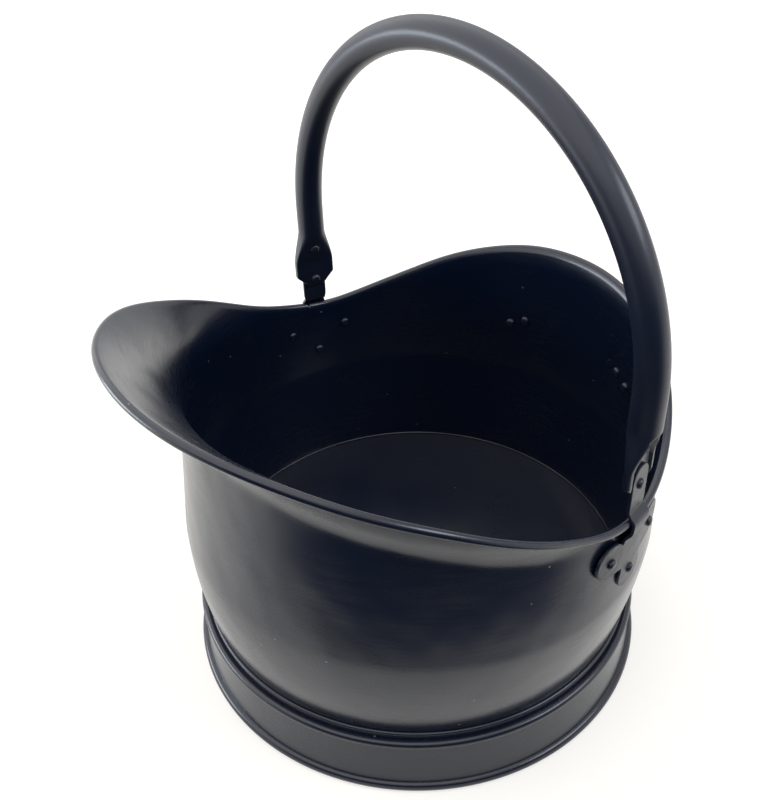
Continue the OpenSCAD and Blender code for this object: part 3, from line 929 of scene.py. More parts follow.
@dataclass
class BaseRing:
    """The flared ring that the drum stands in: collar, shoulder, bead, face and foot bead.

    Attributes:
        drum: the drum that stands in it.
        foot_gap_deg: angle on each side of the foot bead's top that the face takes.
        waist_gap_deg: angle between the bottom of the middle bead and each of its ends.
        shoulder_gap_deg: angle at the middle bead's top that the shoulder takes.
        face_span: where the face starts and ends between the two beads, as shares.
        sides: number of stations round the axis.
    """

    drum: Drum
    foot_out: float = 11.2 * MM
    foot_bead_r: float = 3.7 * MM
    foot_flat: float = 0.5 * MM
    waist_out: float = 3.8 * MM
    waist_drop: float = 5.5 * MM
    waist_bead_r: float = 3.2 * MM
    shoulder_out: float = 2 * MM
    crease: float = 0.3 * MM
    face_bow: float = 0.25 * MM
    foot_gap_deg: float = 4
    waist_gap_deg: float = 15
    shoulder_gap_deg: float = 3
    face_span: Pair = (0.12, 0.955)
    face_rows: int = 12
    sides: int = 400

    def profile(self) -> tuple[Array, Array]:
        """The ring's section, in order round it.

        From the flat under the foot it goes out round the foot bead, up the face, round
        the middle bead, up the shoulder and over its rounded edge, down inside the
        collar, under the bead and back down behind the face.

        Returns:
            (k, 2) radii and heights, and the rubbing along them.
        """
        sheet, neck = self.drum.sheet_t, self.drum.neck_r
        foot = (neck + self.foot_out - self.foot_bead_r, self.foot_bead_r - self.foot_flat)
        waist = (neck + self.waist_out, self.drum.floor_z - self.waist_drop)
        collar, seat, top = neck + self.drum.fit_gap, self.drum.seat_z, self.drum.neck_z
        face_top = (waist[0], waist[1] - self.waist_bead_r / 2)
        flat = math.degrees(math.asin(foot[1] / self.foot_bead_r))
        inside = math.degrees(math.acos((waist[0] - collar - sheet) / self.waist_bead_r))
        shoulder_r = collar + self.shoulder_out
        shoulder = math.degrees(math.acos((shoulder_r - waist[0]) / self.waist_bead_r))

        share = np.linspace(*self.face_span, self.face_rows)[:, None]
        face = np.array(foot) + (np.array(face_top) - foot) * share
        bow = self.face_bow * np.sin(math.pi * share) * [-1, 0]
        edge = self.shoulder_out - self.crease
        parts_and_wear = [
            (arc(foot, self.foot_bead_r, -flat, 90 - self.foot_gap_deg, count=20), 0.9),
            (face + [sheet / 2, 0] + bow, 0.05),
            (arc(waist, self.waist_bead_r, self.waist_gap_deg - 90,
                 shoulder - self.shoulder_gap_deg, count=20), 0.8),
            (arc((shoulder_r - edge, top - edge), edge, 0, CORNER_DEG, count=9), 0.45),
            (np.array([[collar, top - self.crease], [collar, seat], [collar + sheet, seat]]), 0.0),
            (arc(waist, self.waist_bead_r, 180 + inside, 270 - self.waist_gap_deg, count=7), 0.0),
            ((face - [sheet / 2, 0])[::-1], 0.0),
            (arc(foot, self.foot_bead_r, 90 + self.foot_gap_deg, 180 + flat, count=16), 0.2),
        ]
        wear = np.concatenate([np.full(len(part), rub) for part, rub in parts_and_wear])
        return np.concatenate([part for part, _ in parts_and_wear]), wear

    def build(self, shop: PaintShop) -> None:
        """Builds the ring."""
        skin = lathe(*self.profile(), self.sides, True)
        shop.dress("base_ring_skirt", skin, Coat.DRUM, ("base_ring",))


# The hoop


@dataclass
class Hoop:
    """The bent tube with its two crushed ends.

    Attributes:
        drum: the drum that it stands on.
        end_square: power of the crushed end's rounded oblong.
        scoop_start: height over the crushed end at which the trough runs out.
        scoop_share: how far round its arc the trough runs out.
        trough_narrow: how much narrower the trough is where it has run out.
        trough_edge: where the trough's edge starts and ends, in half widths.
        end_steps: heights of the first sections, which round off the end.
        end_shrink: their sizes.
        end_l: height at which the sections have their full size.
        end_rub: wear of the lower edge, which dies out over end_rub_h.
        edge_rub: wear of the crushed end's side edges.
        edge_back: distances from the leg's middle between which that wear sets in.
        edge_rise: heights over the end between which it dies out.
    """

    drum: Drum
    tube_d: float = 19 * MM
    hoop_y: float = 33.9 * MM
    leg_in: float = 6.2 * MM
    hoop_rise: float = 236.4 * MM
    flat_w: float = 29 * MM
    flat_t: float = 5.6 * MM
    trough_d: float = 2.2 * MM
    trough_w: float = 22 * MM
    scoop_r: float = 30 * MM
    flat_start: float = 21.8 * MM
    flat_l: float = 19.6 * MM
    round_l: float = 24 * MM
    flat_clip: float = 8 * MM
    end_square: float = 7
    scoop_start: float = 2 * MM
    scoop_share: float = 0.98
    trough_narrow: float = 0.45
    trough_edge: Pair = (0.86, 1.06)
    end_steps: Triple = (0, 0.08 * MM, 0.3 * MM)
    end_shrink: Triple = (0.80, 0.93, 0.985)
    end_l: float = 0.8 * MM
    end_rub: float = 0.7
    end_rub_h: float = 6 * MM
    edge_rub: float = 0.8
    edge_back: Pair = (12 * MM, 14.5 * MM)
    edge_rise: Pair = (20 * MM, 40 * MM)
    section_points: int = 72
    end_rows: int = 64
    leg_rows: int = 6
    bend_rows: int = 181

    @property
    def leg_x(self) -> float:
        """Distance of each leg from the middle plane, and radius of the bend."""
        return self.drum.rim_r - self.leg_in

    @property
    def turn(self) -> float:
        """Angle of the crushed ends and of the brackets behind the X axis."""
        return math.asin(self.hoop_y / self.drum.rim_r)

    @property
    def leg_out(self) -> float:
        """Distance of a leg's middle from the axis, along the bracket's normal."""
        return self.leg_x * math.cos(self.turn) + self.hoop_y * math.sin(self.turn)

    @property
    def flat_low(self) -> float:
        """Height of the crushed end's lower edge."""
        return self.drum.dip_z + self.flat_start

    def section(self, z: Array) -> tuple[Array, Array]:
        """The tube's section at heights of the leg.

        It is a rounded oblong that goes from a circle to the crushed end as its half axes
        go over. The trough then pulls the outer face in to a floor that runs out on an arc.

        Args:
            z: (k, 1) heights.

        Returns:
            (k, m) distances out and back from the leg's middle.
        """
        flat_high = self.flat_low + self.flat_l
        rounded = np.clip((z - flat_high) / self.round_l, 0, 1)
        rounded = (rounded + ease(rounded, 0, 1)) / 2
        wide = self.flat_w / 2 - np.maximum(0, self.flat_clip - (z - self.flat_low))
        half_out = self.flat_t / 2 + (self.tube_d - self.flat_t) / 2 * rounded
        half_back = wide + (self.tube_d / 2 - wide) * rounded
        square = self.end_square + (2 - self.end_square) * rounded**0.5
        out, back = oblong(full_turn(self.section_points)[None, :], half_out, half_back, square)
        rise = np.clip(z - flat_high - self.scoop_start, 0, self.scoop_share * self.scoop_r)
        floor = self.flat_t / 2 - self.trough_d + self.scoop_r - np.sqrt(self.scoop_r**2 - rise**2)
        half = self.trough_w / 2 * (1 - self.trough_narrow * rounded)
        inside = 1 - ease(np.abs(back) / half, *self.trough_edge)
        return out - inside * np.maximum(out - floor, 0), back

    def skin(self) -> Skin:
        """The whole tube, from one crushed end over the bend to the other.

        Sections stand square to the path: up the right leg, round the half circle of
        radius leg_x and down the left leg, turned about the path by the brackets' angle.

        Returns:
            The skin, faces outwards.
        """
        bend_z, low = self.drum.dip_z + self.hoop_rise - self.leg_x, self.flat_low
        round_z = low + self.flat_l + self.round_l
        leg_z = np.concatenate([
            low + np.array(self.end_steps),
            np.linspace(low + self.end_l, round_z, self.end_rows),
            np.linspace(round_z, bend_z, self.leg_rows)[1:-1],
        ])
        size = np.ones((len(leg_z), 1))
        size[:len(self.end_shrink), 0] = self.end_shrink
        swing = np.linspace(0, math.pi, self.bend_rows)
        circle = arc((0, 0), self.tube_d / 2, 0, 360, self.section_points + 1)[:-1]
        sides = []
        for leg, bent in zip(self.section(leg_z[:, None]), circle.T):
            leg = leg * size
            sides.append(np.concatenate([leg, np.tile(bent, (len(swing), 1)), leg[::-1]]))
        out, back = sides

        one = np.ones(len(leg_z))
        out_x = np.concatenate([one, np.cos(swing), -one])[:, None]
        out_z = np.concatenate([0 * one, np.sin(swing), 0 * one])[:, None]
        mid_z = np.concatenate([leg_z, bend_z + self.leg_x * np.sin(swing), leg_z[::-1]])[:, None]
        along = out * math.cos(self.turn) - back * math.sin(self.turn)
        aside = out * math.sin(self.turn) + back * math.cos(self.turn)
        z = mid_z + along * out_z
        rings = np.stack([self.leg_x * out_x + along * out_x, self.hoop_y + aside, z], -1)
        end = 1 - ease(z, low, low + self.end_rub_h)
        edge = ease(np.abs(back), *self.edge_back) \
            * (1 - ease(z, low + self.edge_rise[0], low + self.edge_rise[1]))
        return skin_rings(rings, np.clip(self.end_rub * end + self.edge_rub * edge, 0, 1), False)

    def build(self, shop: PaintShop) -> None:
        """Builds the hoop."""
        shop.dress("hoop_tube", self.skin(), Coat.HOOP, ("hoop_handle",))


# The rivets


class Head(Enum):
    """How a rivet's outer end is finished."""

    ROUND = "round"
    NONE = "none"


@dataclass(frozen=True)
class Rivet:
    """A steel rivet with a domed head, slightly flattened by the hammer.

    Attributes:
        edge_h: height of the head's upright edge, as a share of the head's.
        pinch_reach: how far the upper rivet's shank runs past the leg's middle.
        bulge: powers of the dome between which each rivet's is drawn.
        squash: how much wider one way, drawn between these.
        tip: slant of the heads, drawn between these.
        phase: way in which they slant, drawn between these.
        first_seed: added to each rivet's seed.
        end_in: share of the shank's radius at its plain end.
        seat_gap: height over its seat at which a point counts as on the head.
        shank_rub: wear of the shank.
        head_rub: how much more the heads are worn.
        stations: radii of the dome's rings, as shares of the head's.
    """

    shank_d: float = 4 * MM
    head_d: float = 6.6 * MM
    head_h: float = 2 * MM
    edge_h: float = 0.3
    tongue_rise: float = 27 * MM
    pinch_rise: float = 53.4 * MM
    pinch_sink: float = 0.6 * MM
    pinch_reach: float = 2 * MM
    bulge: Pair = (3.6, 4.8)
    squash: Pair = (0.96, 1.04)
    tip: Pair = (-0.07, 0.07)
    phase: Pair = (0, 6.28)
    first_seed: int = 40
    end_in: float = 0.98
    seat_gap: float = 0.3 * MM
    shank_rub: float = 0.25
    head_rub: float = 0.6
    stations: tuple[float, ...] = (0.06, 0.2, 0.35, 0.5, 0.63, 0.74, 0.83, 0.9, 0.95, 0.985, 1.0)
    sides: int = 40

    def pinch_seat(self, hoop: Hoop) -> float:
        """Distance from the leg's middle to the seat of the upper rivet's head."""
        share = (self.pinch_rise - hoop.flat_start - hoop.flat_l) / hoop.round_l
        return (hoop.flat_t + (hoop.tube_d - hoop.flat_t) * share) / 2 - self.pinch_sink

    def spin(self, inner: float, outer: float, seed: int,
             head: Head = Head.ROUND) -> tuple[Array, Array]:
        """Turns a rivet about an axis that runs outwards.

        A head's height falls as 1 - (r/R)^p to the height of its upright edge, with p of
        about 4 for a dome struck nearly flat. The section is squashed and tipped a little,
        differently for each rivet.

        Args:
            inner: where the inner head is seated.
            outer: where the outer head is seated, or where the shank ends.
            seed: picks the squash.
            head: whether there is an outer head.

        Returns:
            (k, m, 3) rings and their wear.
        """
        draw = np.random.default_rng(seed + self.first_seed)
        ranges = (self.bulge, self.squash, self.tip, self.phase)
        bulge, squash, tip, phase = draw.uniform(*zip(*ranges))
        share, shank_r = np.array(self.stations), self.shank_d / 2
        radius = share * self.head_d / 2
        height = self.head_h * (self.edge_h + (1 - self.edge_h) * (1 - share**bulge))
        height[-1] = 0.0
        far_r, far_x = radius[::-1], outer + height[::-1]
        if head is Head.NONE:
            far_r, far_x = np.array([shank_r * self.end_in]), np.array([outer])
        along = np.concatenate([inner - height, [inner, outer], far_x])[:, None]
        wide = np.concatenate([radius, [shank_r, shank_r], far_r])[:, None]
        turn = full_turn(self.sides)[None, :]
        y, z = wide * np.cos(turn) * squash, wide * np.sin(turn) / squash
        lean = tip * (y * math.cos(phase) + z * math.sin(phase))
        from_middle = np.abs(along - (inner + outer) / 2)
        on_head = (from_middle > (outer - inner) / 2 + self.seat_gap).astype(float)
        rings = np.stack([along + lean * on_head, y, z], -1)
        return rings, np.broadcast_to(self.shank_rub + self.head_rub * on_head, y.shape)


# The brackets


@dataclass(frozen=True)
class BracketPlace:
    """Where a bracket or its rivet stands: out from the axis, back round the drum, and up.

    Attributes:
        side: 1 for +X, -1 for -X.
        turn: angle of its middle line behind the X axis.
    """

    side: int
    turn: float

    def put(self, out: Array, back: Array, up: Array) -> Array:
        """Turns distances into places: a turn about Z, then a mirror in X for the left side.

        Args:
            out: distances out from the axis.
            back: distances back round the drum.
            up: heights.

        Returns:
            (..., 3) places.
        """
        x = self.side * (out * math.cos(self.turn) - back * math.sin(self.turn))
        y = out * math.sin(self.turn) + back * math.cos(self.turn)
        return np.stack(np.broadcast_arrays(x, y, up), -1)

    def set_rivet(self, spun: tuple[Array, Array], z: float) -> Skin:
        """Sets a rivet here, at a height, so that it points away from the drum's axis."""
        rings, wear = spun
        return skin_rings(self.put(rings[..., 0], rings[..., 1], z + rings[..., 2]), wear, False)

    @property
    def word(self) -> str:
        """The side in words."""
        return "right" if self.side > 0 else "left"


@dataclass
class Bracket:
    """A three-lobed plate cut from sheet and bent out over the rim and up the hoop.

    Attributes:
        hoop: the hoop that it holds.
        place: where it stands.
        lobe_shift_x: how far the side lobes reach beyond their rivets' middles.
        lobe_shift_z: how much higher than their rivets they are.
        low_shift_z: how much lower than its rivet the lower lobe is.
        web_drop: height of the web's corner under the side rivets.
        notch_x: distance of the notch beside the strap from the middle line.
        notch_rise: its height over the side rivets.
        strap_foot: how much the strap is wider at its foot, and how far that is below the dip.
        tongue_folds: height over the dip where the tongue has its full width, in folds.
        fold_x: half of the width that is folded.
        fold_soft: distance over which the fold runs out beside it.
        fold_round: height over which the folds are rounded, up and down, in round_steps.
        bend_span: heights between which the bent line is worked out, in steps of bend_step.
        edge_r: radius of the plate's edges.
        rim_in: how far the ring of flat face beside the edge is set in, in radii.
        edge_fade: how fast the wear dies out from the edge.
        outline_step: distance between points of the outline.
        smooth_steps: how many steps each way its running mean takes in.
        field_gap: distance between points of the faces.
        field_near: how near the outline they may come, in gaps.
    """

    hoop: Hoop
    place: BracketPlace
    plate_t: float = 2 * MM
    lobe_r: float = 12 * MM
    lobe_x: float = 22.3 * MM
    lobe_drop: float = 18.7 * MM
    lobe_fall: float = 19.8 * MM
    web_w: float = 22 * MM
    strap_w: float = 16.5 * MM
    tongue_w: float = 17.5 * MM
    tongue_rise: float = 40 * MM
    fold_h: float = 8 * MM
    crown_h: float = 3.5 * MM
    crown_gap: float = 0.2 * MM
    lobe_shift_x: float = 1.0 * MM
    lobe_shift_z: float = 2.0 * MM
    low_shift_z: float = 0.8 * MM
    web_drop: float = 12.2 * MM
    notch_x: float = 12.4 * MM
    notch_rise: float = 8.5 * MM
    strap_foot: float = 1.0 * MM
    tongue_folds: float = 1.5
    fold_x: float = 11.5 * MM
    fold_soft: float = 1.5 * MM
    fold_round: float = 1.5 * MM
    round_steps: int = 13
    bend_span: Pair = (110 * MM, 240 * MM)
    bend_step: float = 0.1 * MM
    edge_r: float = 0.45 * MM
    edge_rows: int = 5
    rim_in: float = 1.8
    edge_fade: float = 1.5
    outline_step: float = 0.35 * MM
    smooth_steps: int = 2
    field_gap: float = 1.3 * MM
    field_near: float = 0.6

    @property
    def lobe_z(self) -> float:
        """Height of the side lobes' rivets."""
        return self.hoop.drum.dip_z - self.lobe_drop

    @property
    def low_lobe_z(self) -> float:
        """Height of the lower lobe's rivet."""
        return self.lobe_z - self.lobe_fall

    @property
    def plate_out(self) -> float:
        """Distance of the plate's inner face from the axis: on the wall under the lower lobe."""
        return self.wall_out(self.low_lobe_z) + self.hoop.drum.fit_gap

    @property
    def crown_out(self) -> float:
        """Distance of the strap's inner face from the axis where it passes the rolled rim."""
        return self.hoop.drum.rim_r + self.hoop.drum.bead_r + self.crown_gap

    @property
    def tongue_out(self) -> float:
        """Distance of the tongue's inner face from the axis: on the floor of the trough."""
        hoop = self.hoop
        return hoop.leg_out + hoop.flat_t / 2 - hoop.trough_d + hoop.drum.fit_gap

    def wall_out(self, z: float) -> float:
        """Distance of the wall's outer face from the axis, behind the bracket's middle line."""
        return self.hoop.drum.side_radius(math.pi / 2 + self.place.turn, z)

    def outline(self) -> Array:
        """The blank's outline, seen flat, in order.

        The right half runs up from the bottom of the lower lobe: arcs for the lobes and
        the top, a tangent from the web's corner to the side lobe, a notch between that
        lobe and the strap, and straight edges above. It is mirrored, resampled at even
        steps, and each corner is rounded by a running mean.

        Returns:
            (n, 2) distances aside and heights.
        """
        dip, low = self.hoop.drum.dip_z, (0.0, self.low_lobe_z - self.low_shift_z)
        side = (self.lobe_x + self.lobe_shift_x, self.lobe_z + self.lobe_shift_z)
        corner = (self.web_w / 2, self.lobe_z - self.web_drop)
        notch = (self.notch_x, self.lobe_z + self.notch_rise)
        web = math.degrees(math.acos(self.web_w / 2 / self.lobe_r))
        ahead, above = side[0] - corner[0], side[1] - corner[1]
        tangent = math.atan2(above, ahead) - math.asin(self.lobe_r / math.hypot(ahead, above))
        end = 360 + math.degrees(math.atan2(notch[1] - side[1], notch[0] - side[0]))
        top = (0, dip + self.tongue_rise - self.tongue_w / 2)
        half = np.concatenate([
            arc(low, self.lobe_r, -90, web, count=30),
            [corner],
            arc(side, self.lobe_r, math.degrees(tangent) - 90, end, count=60),
            [notch, (self.strap_w / 2 + self.strap_foot, dip - self.strap_foot),
             (self.strap_w / 2, dip + self.fold_h),
             (self.tongue_w / 2, dip + self.tongue_folds * self.fold_h)],
            arc(top, self.tongue_w / 2, 0, 90, count=24),
        ])
        loop = np.concatenate([half, half[-2:0:-1] * [-1, 1]])
        steps = np.linalg.norm(np.roll(loop, -1, 0) - loop, axis=1)
        travelled = np.concatenate([[0], np.cumsum(steps)])
        count = int(travelled[-1] / self.outline_step)
        stops = np.linspace(0, travelled[-1], count, endpoint=False)
        shut = np.concatenate([loop, loop[:1]])
        even = np.stack([np.interp(stops, travelled, shut[:, k]) for k in range(2)], -1)
        reach = self.smooth_steps
        return sum(np.roll(even, k, 0) for k in range(-reach, reach + 1)) / (2 * reach + 1)

    def bend(self, aside: Array, z: Array, off: Array) -> Array:
        """Bends the blank.

        The plate's middle keeps its distance from the axis, goes out to the crown, over
        the rim, and back to the tongue; the knots are joined by straight runs whose
        corners are rounded by a mean over a short height. A point off the middle stands
        square to that line. Only the strap's width is folded. Below the fold and beside
        it the plate is wrapped round the drum: a point comes in until its distance from
        the axis is what it would be on the middle line.

        Args:
            aside: distance from the bracket's middle line.
            z: height on the blank.
            off: distance from the plate's middle, outwards.

        Returns:
            Places on the frame.
        """
        dip, plate, half = self.hoop.drum.dip_z, self.plate_out, self.plate_t / 2
        fold, crown = self.fold_h, self.crown_h
        knots_z = [0, dip - fold, dip - crown, dip + crown, dip + fold, 1]
        knots = np.repeat([plate, self.crown_out, self.tongue_out], 2)
        heights = np.arange(*self.bend_span, self.bend_step)
        shifts = np.linspace(-self.fold_round, self.fold_round, self.round_steps)
        line = np.interp(heights[:, None] + shifts, knots_z, knots).mean(1) + half
        slope = np.gradient(line, heights)
        edges = self.fold_x - self.fold_soft, self.fold_x + self.fold_soft
        strap = 1 - ease(np.abs(aside), *edges)
        out = plate + half + strap * (np.interp(z, heights, line) - plate - half)
        lean = strap * np.interp(z, heights, slope)
        length = np.sqrt(1 + lean**2)
        straight = out + off / length
        wrapped = 1 - strap * ease(z, dip - fold - self.plate_t, dip - fold + self.plate_t)
        fall = straight - np.sqrt(straight**2 - aside**2)
        return self.place.put(straight - wrapped * fall, aside, z - off * lean / length)

    def skin(self) -> Skin:
        """The bent plate with rounded edges.

        Rings follow the outline, set in by the edge's round at each face, and both faces
        are filled with triangles over a field of points close enough to bend smoothly.

        Returns:
            The skin, faces outwards.
        """
        outline, half = self.outline(), self.plate_t / 2
        ahead = unit(np.roll(outline, -1, 0) - np.roll(outline, 1, 0))
        outwards = np.stack([ahead[:, 1], -ahead[:, 0]], -1)
        quarter = np.radians(np.linspace(0, 90, self.edge_rows))
        inset = self.edge_r * (1 - np.cos(quarter))
        lift = half - self.edge_r * (1 - np.sin(quarter))
        insets = np.concatenate([[self.edge_r * self.rim_in], inset[::-1], inset,
                                 [self.edge_r * self.rim_in]])
        offs = np.concatenate([[-half], -lift[::-1], lift, [half]])
        loops = outline[None] - insets[:, None, None] * outwards[None]
        count, rows = len(outline), len(insets)
        flat, tris = self.fill(loops[0])
        inner, edge_wear = flat[count:], np.exp(-insets / self.edge_r * self.edge_fade)
        aside, z = np.concatenate([loops.reshape(-1, 2), inner, inner]).T
        off = np.concatenate([np.repeat(offs, count), np.repeat([-half, half], len(inner))])
        wear = np.concatenate([np.repeat(edge_wear, count), np.zeros(2 * len(inner))])
        inner_tris = tris + (rows - 1) * count
        low_face = np.where(tris < count, tris, inner_tris)
        high_face = np.where(tris < count, inner_tris, inner_tris + len(inner))
        faces = np.concatenate([low_face[:, ::-1], high_face])
        return Skin(self.bend(aside, z, off), grid_quads(rows, count), faces, wear).outward()

    def fill(self, loop: Array) -> tuple[Array, Array]:
        """Fills an outline with triangles.

        Field points are kept where a ray to the right crosses the outline an odd number
        of times, and where the outline isn't too near.

        Args:
            loop: (n, 2) outline, anticlockwise.

        Returns:
            (m, 2) points, the outline's first, and (k, 3) triangles, anticlockwise.
        """
        level, inside_only, merge = 1e-12, 1, 1e-5
        x, z = (np.arange(side.min(), side.max(), self.field_gap) for side in loop.T)
        field = np.stack(np.meshgrid(x, z), -1).reshape(-1, 2)
        ahead = np.roll(loop, -1, 0)
        spans = (loop[:, 1] > field[:, 1:]) != (ahead[:, 1] > field[:, 1:])
        rise = ahead[:, 1] - loop[:, 1]
        rise = np.where(np.abs(rise) < level, level, rise)
        cross = loop[:, 0] + (field[:, 1:] - loop[:, 1]) * (ahead[:, 0] - loop[:, 0]) / rise
        inside = (spans & (field[:, :1] < cross)).sum(1) % 2 == 1
        near = np.linalg.norm(field[:, None] - loop[None], axis=2).min(1)
        points = np.concatenate([loop, field[inside & (near > self.field_near * self.field_gap)]])
        corners, edge = [Vector(p) for p in points / MM], [list(range(len(loop)))]
        placed, _, faces, *_ = delaunay_2d_cdt(corners, [], edge, inside_only, merge)
        return np.array([tuple(p) for p in placed]) * MM, np.array([list(f) for f in faces])

    def build(self, shop: PaintShop) -> None:
        """Builds the plate, the rivets of its lobes and the two of the hoop's end.

        Args:
            shop: where they are painted.
        """
        place, hoop, drum, rivet, lobes = self.place, self.hoop, self.hoop.drum, Rivet(), []
        name = f"{place.word}_bracket"
        shop.dress(f"{name}_plate", self.skin(), Coat.BRACKET, (name,))
        spots = [(-self.lobe_x, self.lobe_z), (self.lobe_x, self.lobe_z), (0.0, self.low_lobe_z)]
        for number, (aside, z) in enumerate(spots):
            spun = rivet.spin(self.wall_out(z) - drum.sheet_t, self.plate_out + self.plate_t,
                              seed=number + place.side)
            spot = BracketPlace(place.side, place.turn + math.asin(aside / self.plate_out))
            lobes.append(spot.set_rivet(spun, z))
        tongue = rivet.spin(hoop.leg_out - hoop.flat_t / 2, self.tongue_out + self.plate_t, seed=7)
        pinch = rivet.spin(hoop.leg_out - rivet.pinch_seat(hoop), hoop.leg_out + rivet.pinch_reach,
                           seed=8, head=Head.NONE)
        ends = [place.set_rivet(tongue, drum.dip_z + rivet.tongue_rise),
                place.set_rivet(pinch, drum.dip_z + rivet.pinch_rise)]
        for name, skins, node in (("lobe", lobes, "bracket"), ("end", ends, "hoop")):
            shop.dress(f"{place.word}_{name}_rivets", join_skins(skins), Coat.RIVET,
                       (f"{place.word}_{node}_rivets",))


# The tipping handle at the back


@dataclass
class RearHandle:
    """A bow of steel rod whose feet are forged flat and riveted to the drum.

    Attributes:
        drum: the drum that it is riveted to.
        pad_back: how far the flat runs past the pad's middle, in pad lengths.
        pad_square: power of the pad's rounded oblong.
        end_least: least size of the pad's rounded end, squared.
        foot_deg: angle of the foot bend's arc at the pad.
        bridge_pull: length of the handles that lead the rod off the pad.
        grip_rub: wear of the grip.
        grip_span: distances from the middle between which it dies out.
        pad_rub: wear of the pads.
    """

    drum: Drum
    bow_d: float = 11 * MM
    bow_arm_x: float = 30 * MM
    bow_arm_l: float = 6 * MM
    bow_corner_r: float = 20 * MM
    bow_bend_r: float = 8 * MM
    bow_drop: float = 67 * MM
    bow_lift: float = 4.5 * MM
    bow_tilt: float = math.radians(20)
    bow_gap: float = 0.3 * MM
    pad_x: float = 51.7 * MM
    pad_l: float = 30 * MM
    pad_w: float = 14 * MM
    pad_t: float = 2.6 * MM
    pad_slope: float = math.radians(23)
    pad_rivet_gap: float = 13.3 * MM
    pad_back: float = 0.22
    pad_square: float = 5
    end_least: float = 0.004
    foot_deg: float = 228
    bridge_pull: float = 5.5 * MM
    grip_rub: float = 0.35
    grip_span: Pair = (16 * MM, 30 * MM)
    pad_rub: float = 0.4
    section_points: int = 48
    pad_rows: int = 30
    bridge_rows: int = 26
    arm_rows: int = 7
    grip_rows: int = 8

    @property
    def bow_z(self) -> float:
        """Height of the pads' middles."""
        return self.drum.dip_z + self.drum.back_rise - self.bow_drop

    @property
    def pad_turn(self) -> float:
        """Angle of each pad round the drum, from the back."""
        return math.asin(self.pad_x / self.drum.rim_r)

    @property
    def pad_out(self) -> float:
        """Distance of a pad's inner face from the axis."""
        return self.wall_out(self.bow_z - self.pad_w / 2) + self.drum.fit_gap

    def wall_out(self, z: float) -> float:
        """Distance of the wall's outer face from the axis, behind a pad."""
        return self.drum.side_radius(math.pi - self.pad_turn, z)

    def pad_frame(self) -> tuple[Array, Array, Array, Array]:
        """Where the right pad lies.

        Returns:
            Its middle, and its ways out, along and across.
        """
        sine, cosine = math.sin(self.pad_turn), math.cos(self.pad_turn)
        middle = np.array([self.pad_out * sine, self.pad_out * cosine, self.bow_z])
        out = np.array([sine, cosine, 0.0])
        level, up = np.array([cosine, -sine, 0.0]), np.array([0.0, 0.0, 1.0])
        along = level * math.cos(self.pad_slope) - up * math.sin(self.pad_slope)
        return middle, out, along, np.cross(out, along)

    def half_path(self) -> tuple[Array, Array, Array, Array]:
        """Half of the rod's middle line, from the pad's end to the middle of the grip.

        A straight run over the pad, a cubic curve into the foot bend, the arm, a quarter
        circle for the corner and the straight grip. The section fills out only as fast as
        the line leaves the drum, so that it never sinks into the wall.

        Returns:
            (k, 3) places, (k, 3) ways across the pad's width, (k,) how round the section
            is, from 0 on the pad to 1, and (k,) how far the end is drawn in.
        """
        middle, out, along, across = self.pad_frame()
        foot_x = self.bow_arm_x + self.bow_bend_r
        wall = math.sqrt(self.pad_out**2 - foot_x**2)
        origin = np.array([0, wall + self.bow_d / 2 + self.bow_gap, self.bow_z + self.bow_lift])
        side = np.array([1.0, 0, 0])
        ahead = np.array([0, math.cos(self.bow_tilt), math.sin(self.bow_tilt)])
        upright = np.cross(side, ahead)

        def in_bow(flat: Array) -> Array:
            """Places on the frame of points in the bow's own plane."""
            return origin + flat[:, :1] * side + flat[:, 1:] * ahead

        def run(x: Array | float, y: Array | float) -> Array:
            """Places on the frame of a straight run in that plane."""
            return in_bow(np.stack(np.broadcast_arrays(x, y), -1))

        reach = np.linspace(self.pad_l / 2, -self.pad_back * self.pad_l, self.pad_rows)
        pad = middle + out * self.pad_t / 2 + reach[:, None] * along
        foot = in_bow(arc((foot_x, self.bow_bend_r), self.bow_bend_r, self.foot_deg, 180, count=12))
        start = unit(foot[1] - foot[0]) * self.bridge_pull
        handles = [pad[-1], pad[-1] - along * self.bridge_pull, foot[0] - start, foot[0]]
        knee_y, grip_x = self.bow_bend_r + self.bow_arm_l, self.bow_arm_x - self.bow_corner_r
        path = np.concatenate([
            pad,
            bezier(handles, self.bridge_rows)[1:-1],
            foot,
            run(self.bow_arm_x, np.linspace(self.bow_bend_r, knee_y, self.arm_rows)[1:-1]),
            in_bow(arc((grip_x, knee_y), self.bow_corner_r, 0, 90, count=28)),
            run(np.linspace(grip_x, 0, self.grip_rows)[1:], knee_y + self.bow_corner_r),
        ])
        room = np.linalg.norm(path[:, :2], axis=1) - self.pad_out
        filled = np.clip((2 * room - self.pad_t) / (self.bow_d - self.pad_t), 0, 1)
        rounded = np.maximum.accumulate(filled)
        rounded[:len(pad)] = 0
        hint = across + (upright - across) * rounded[:, None]
        end = np.maximum(0, reach - (self.pad_l - self.pad_w) / 2) / (self.pad_w / 2)
        drawn = np.ones(len(path))
        drawn[:len(pad)] = np.sqrt(np.maximum(1 - end**2, self.end_least))
        return path, hint, rounded, drawn

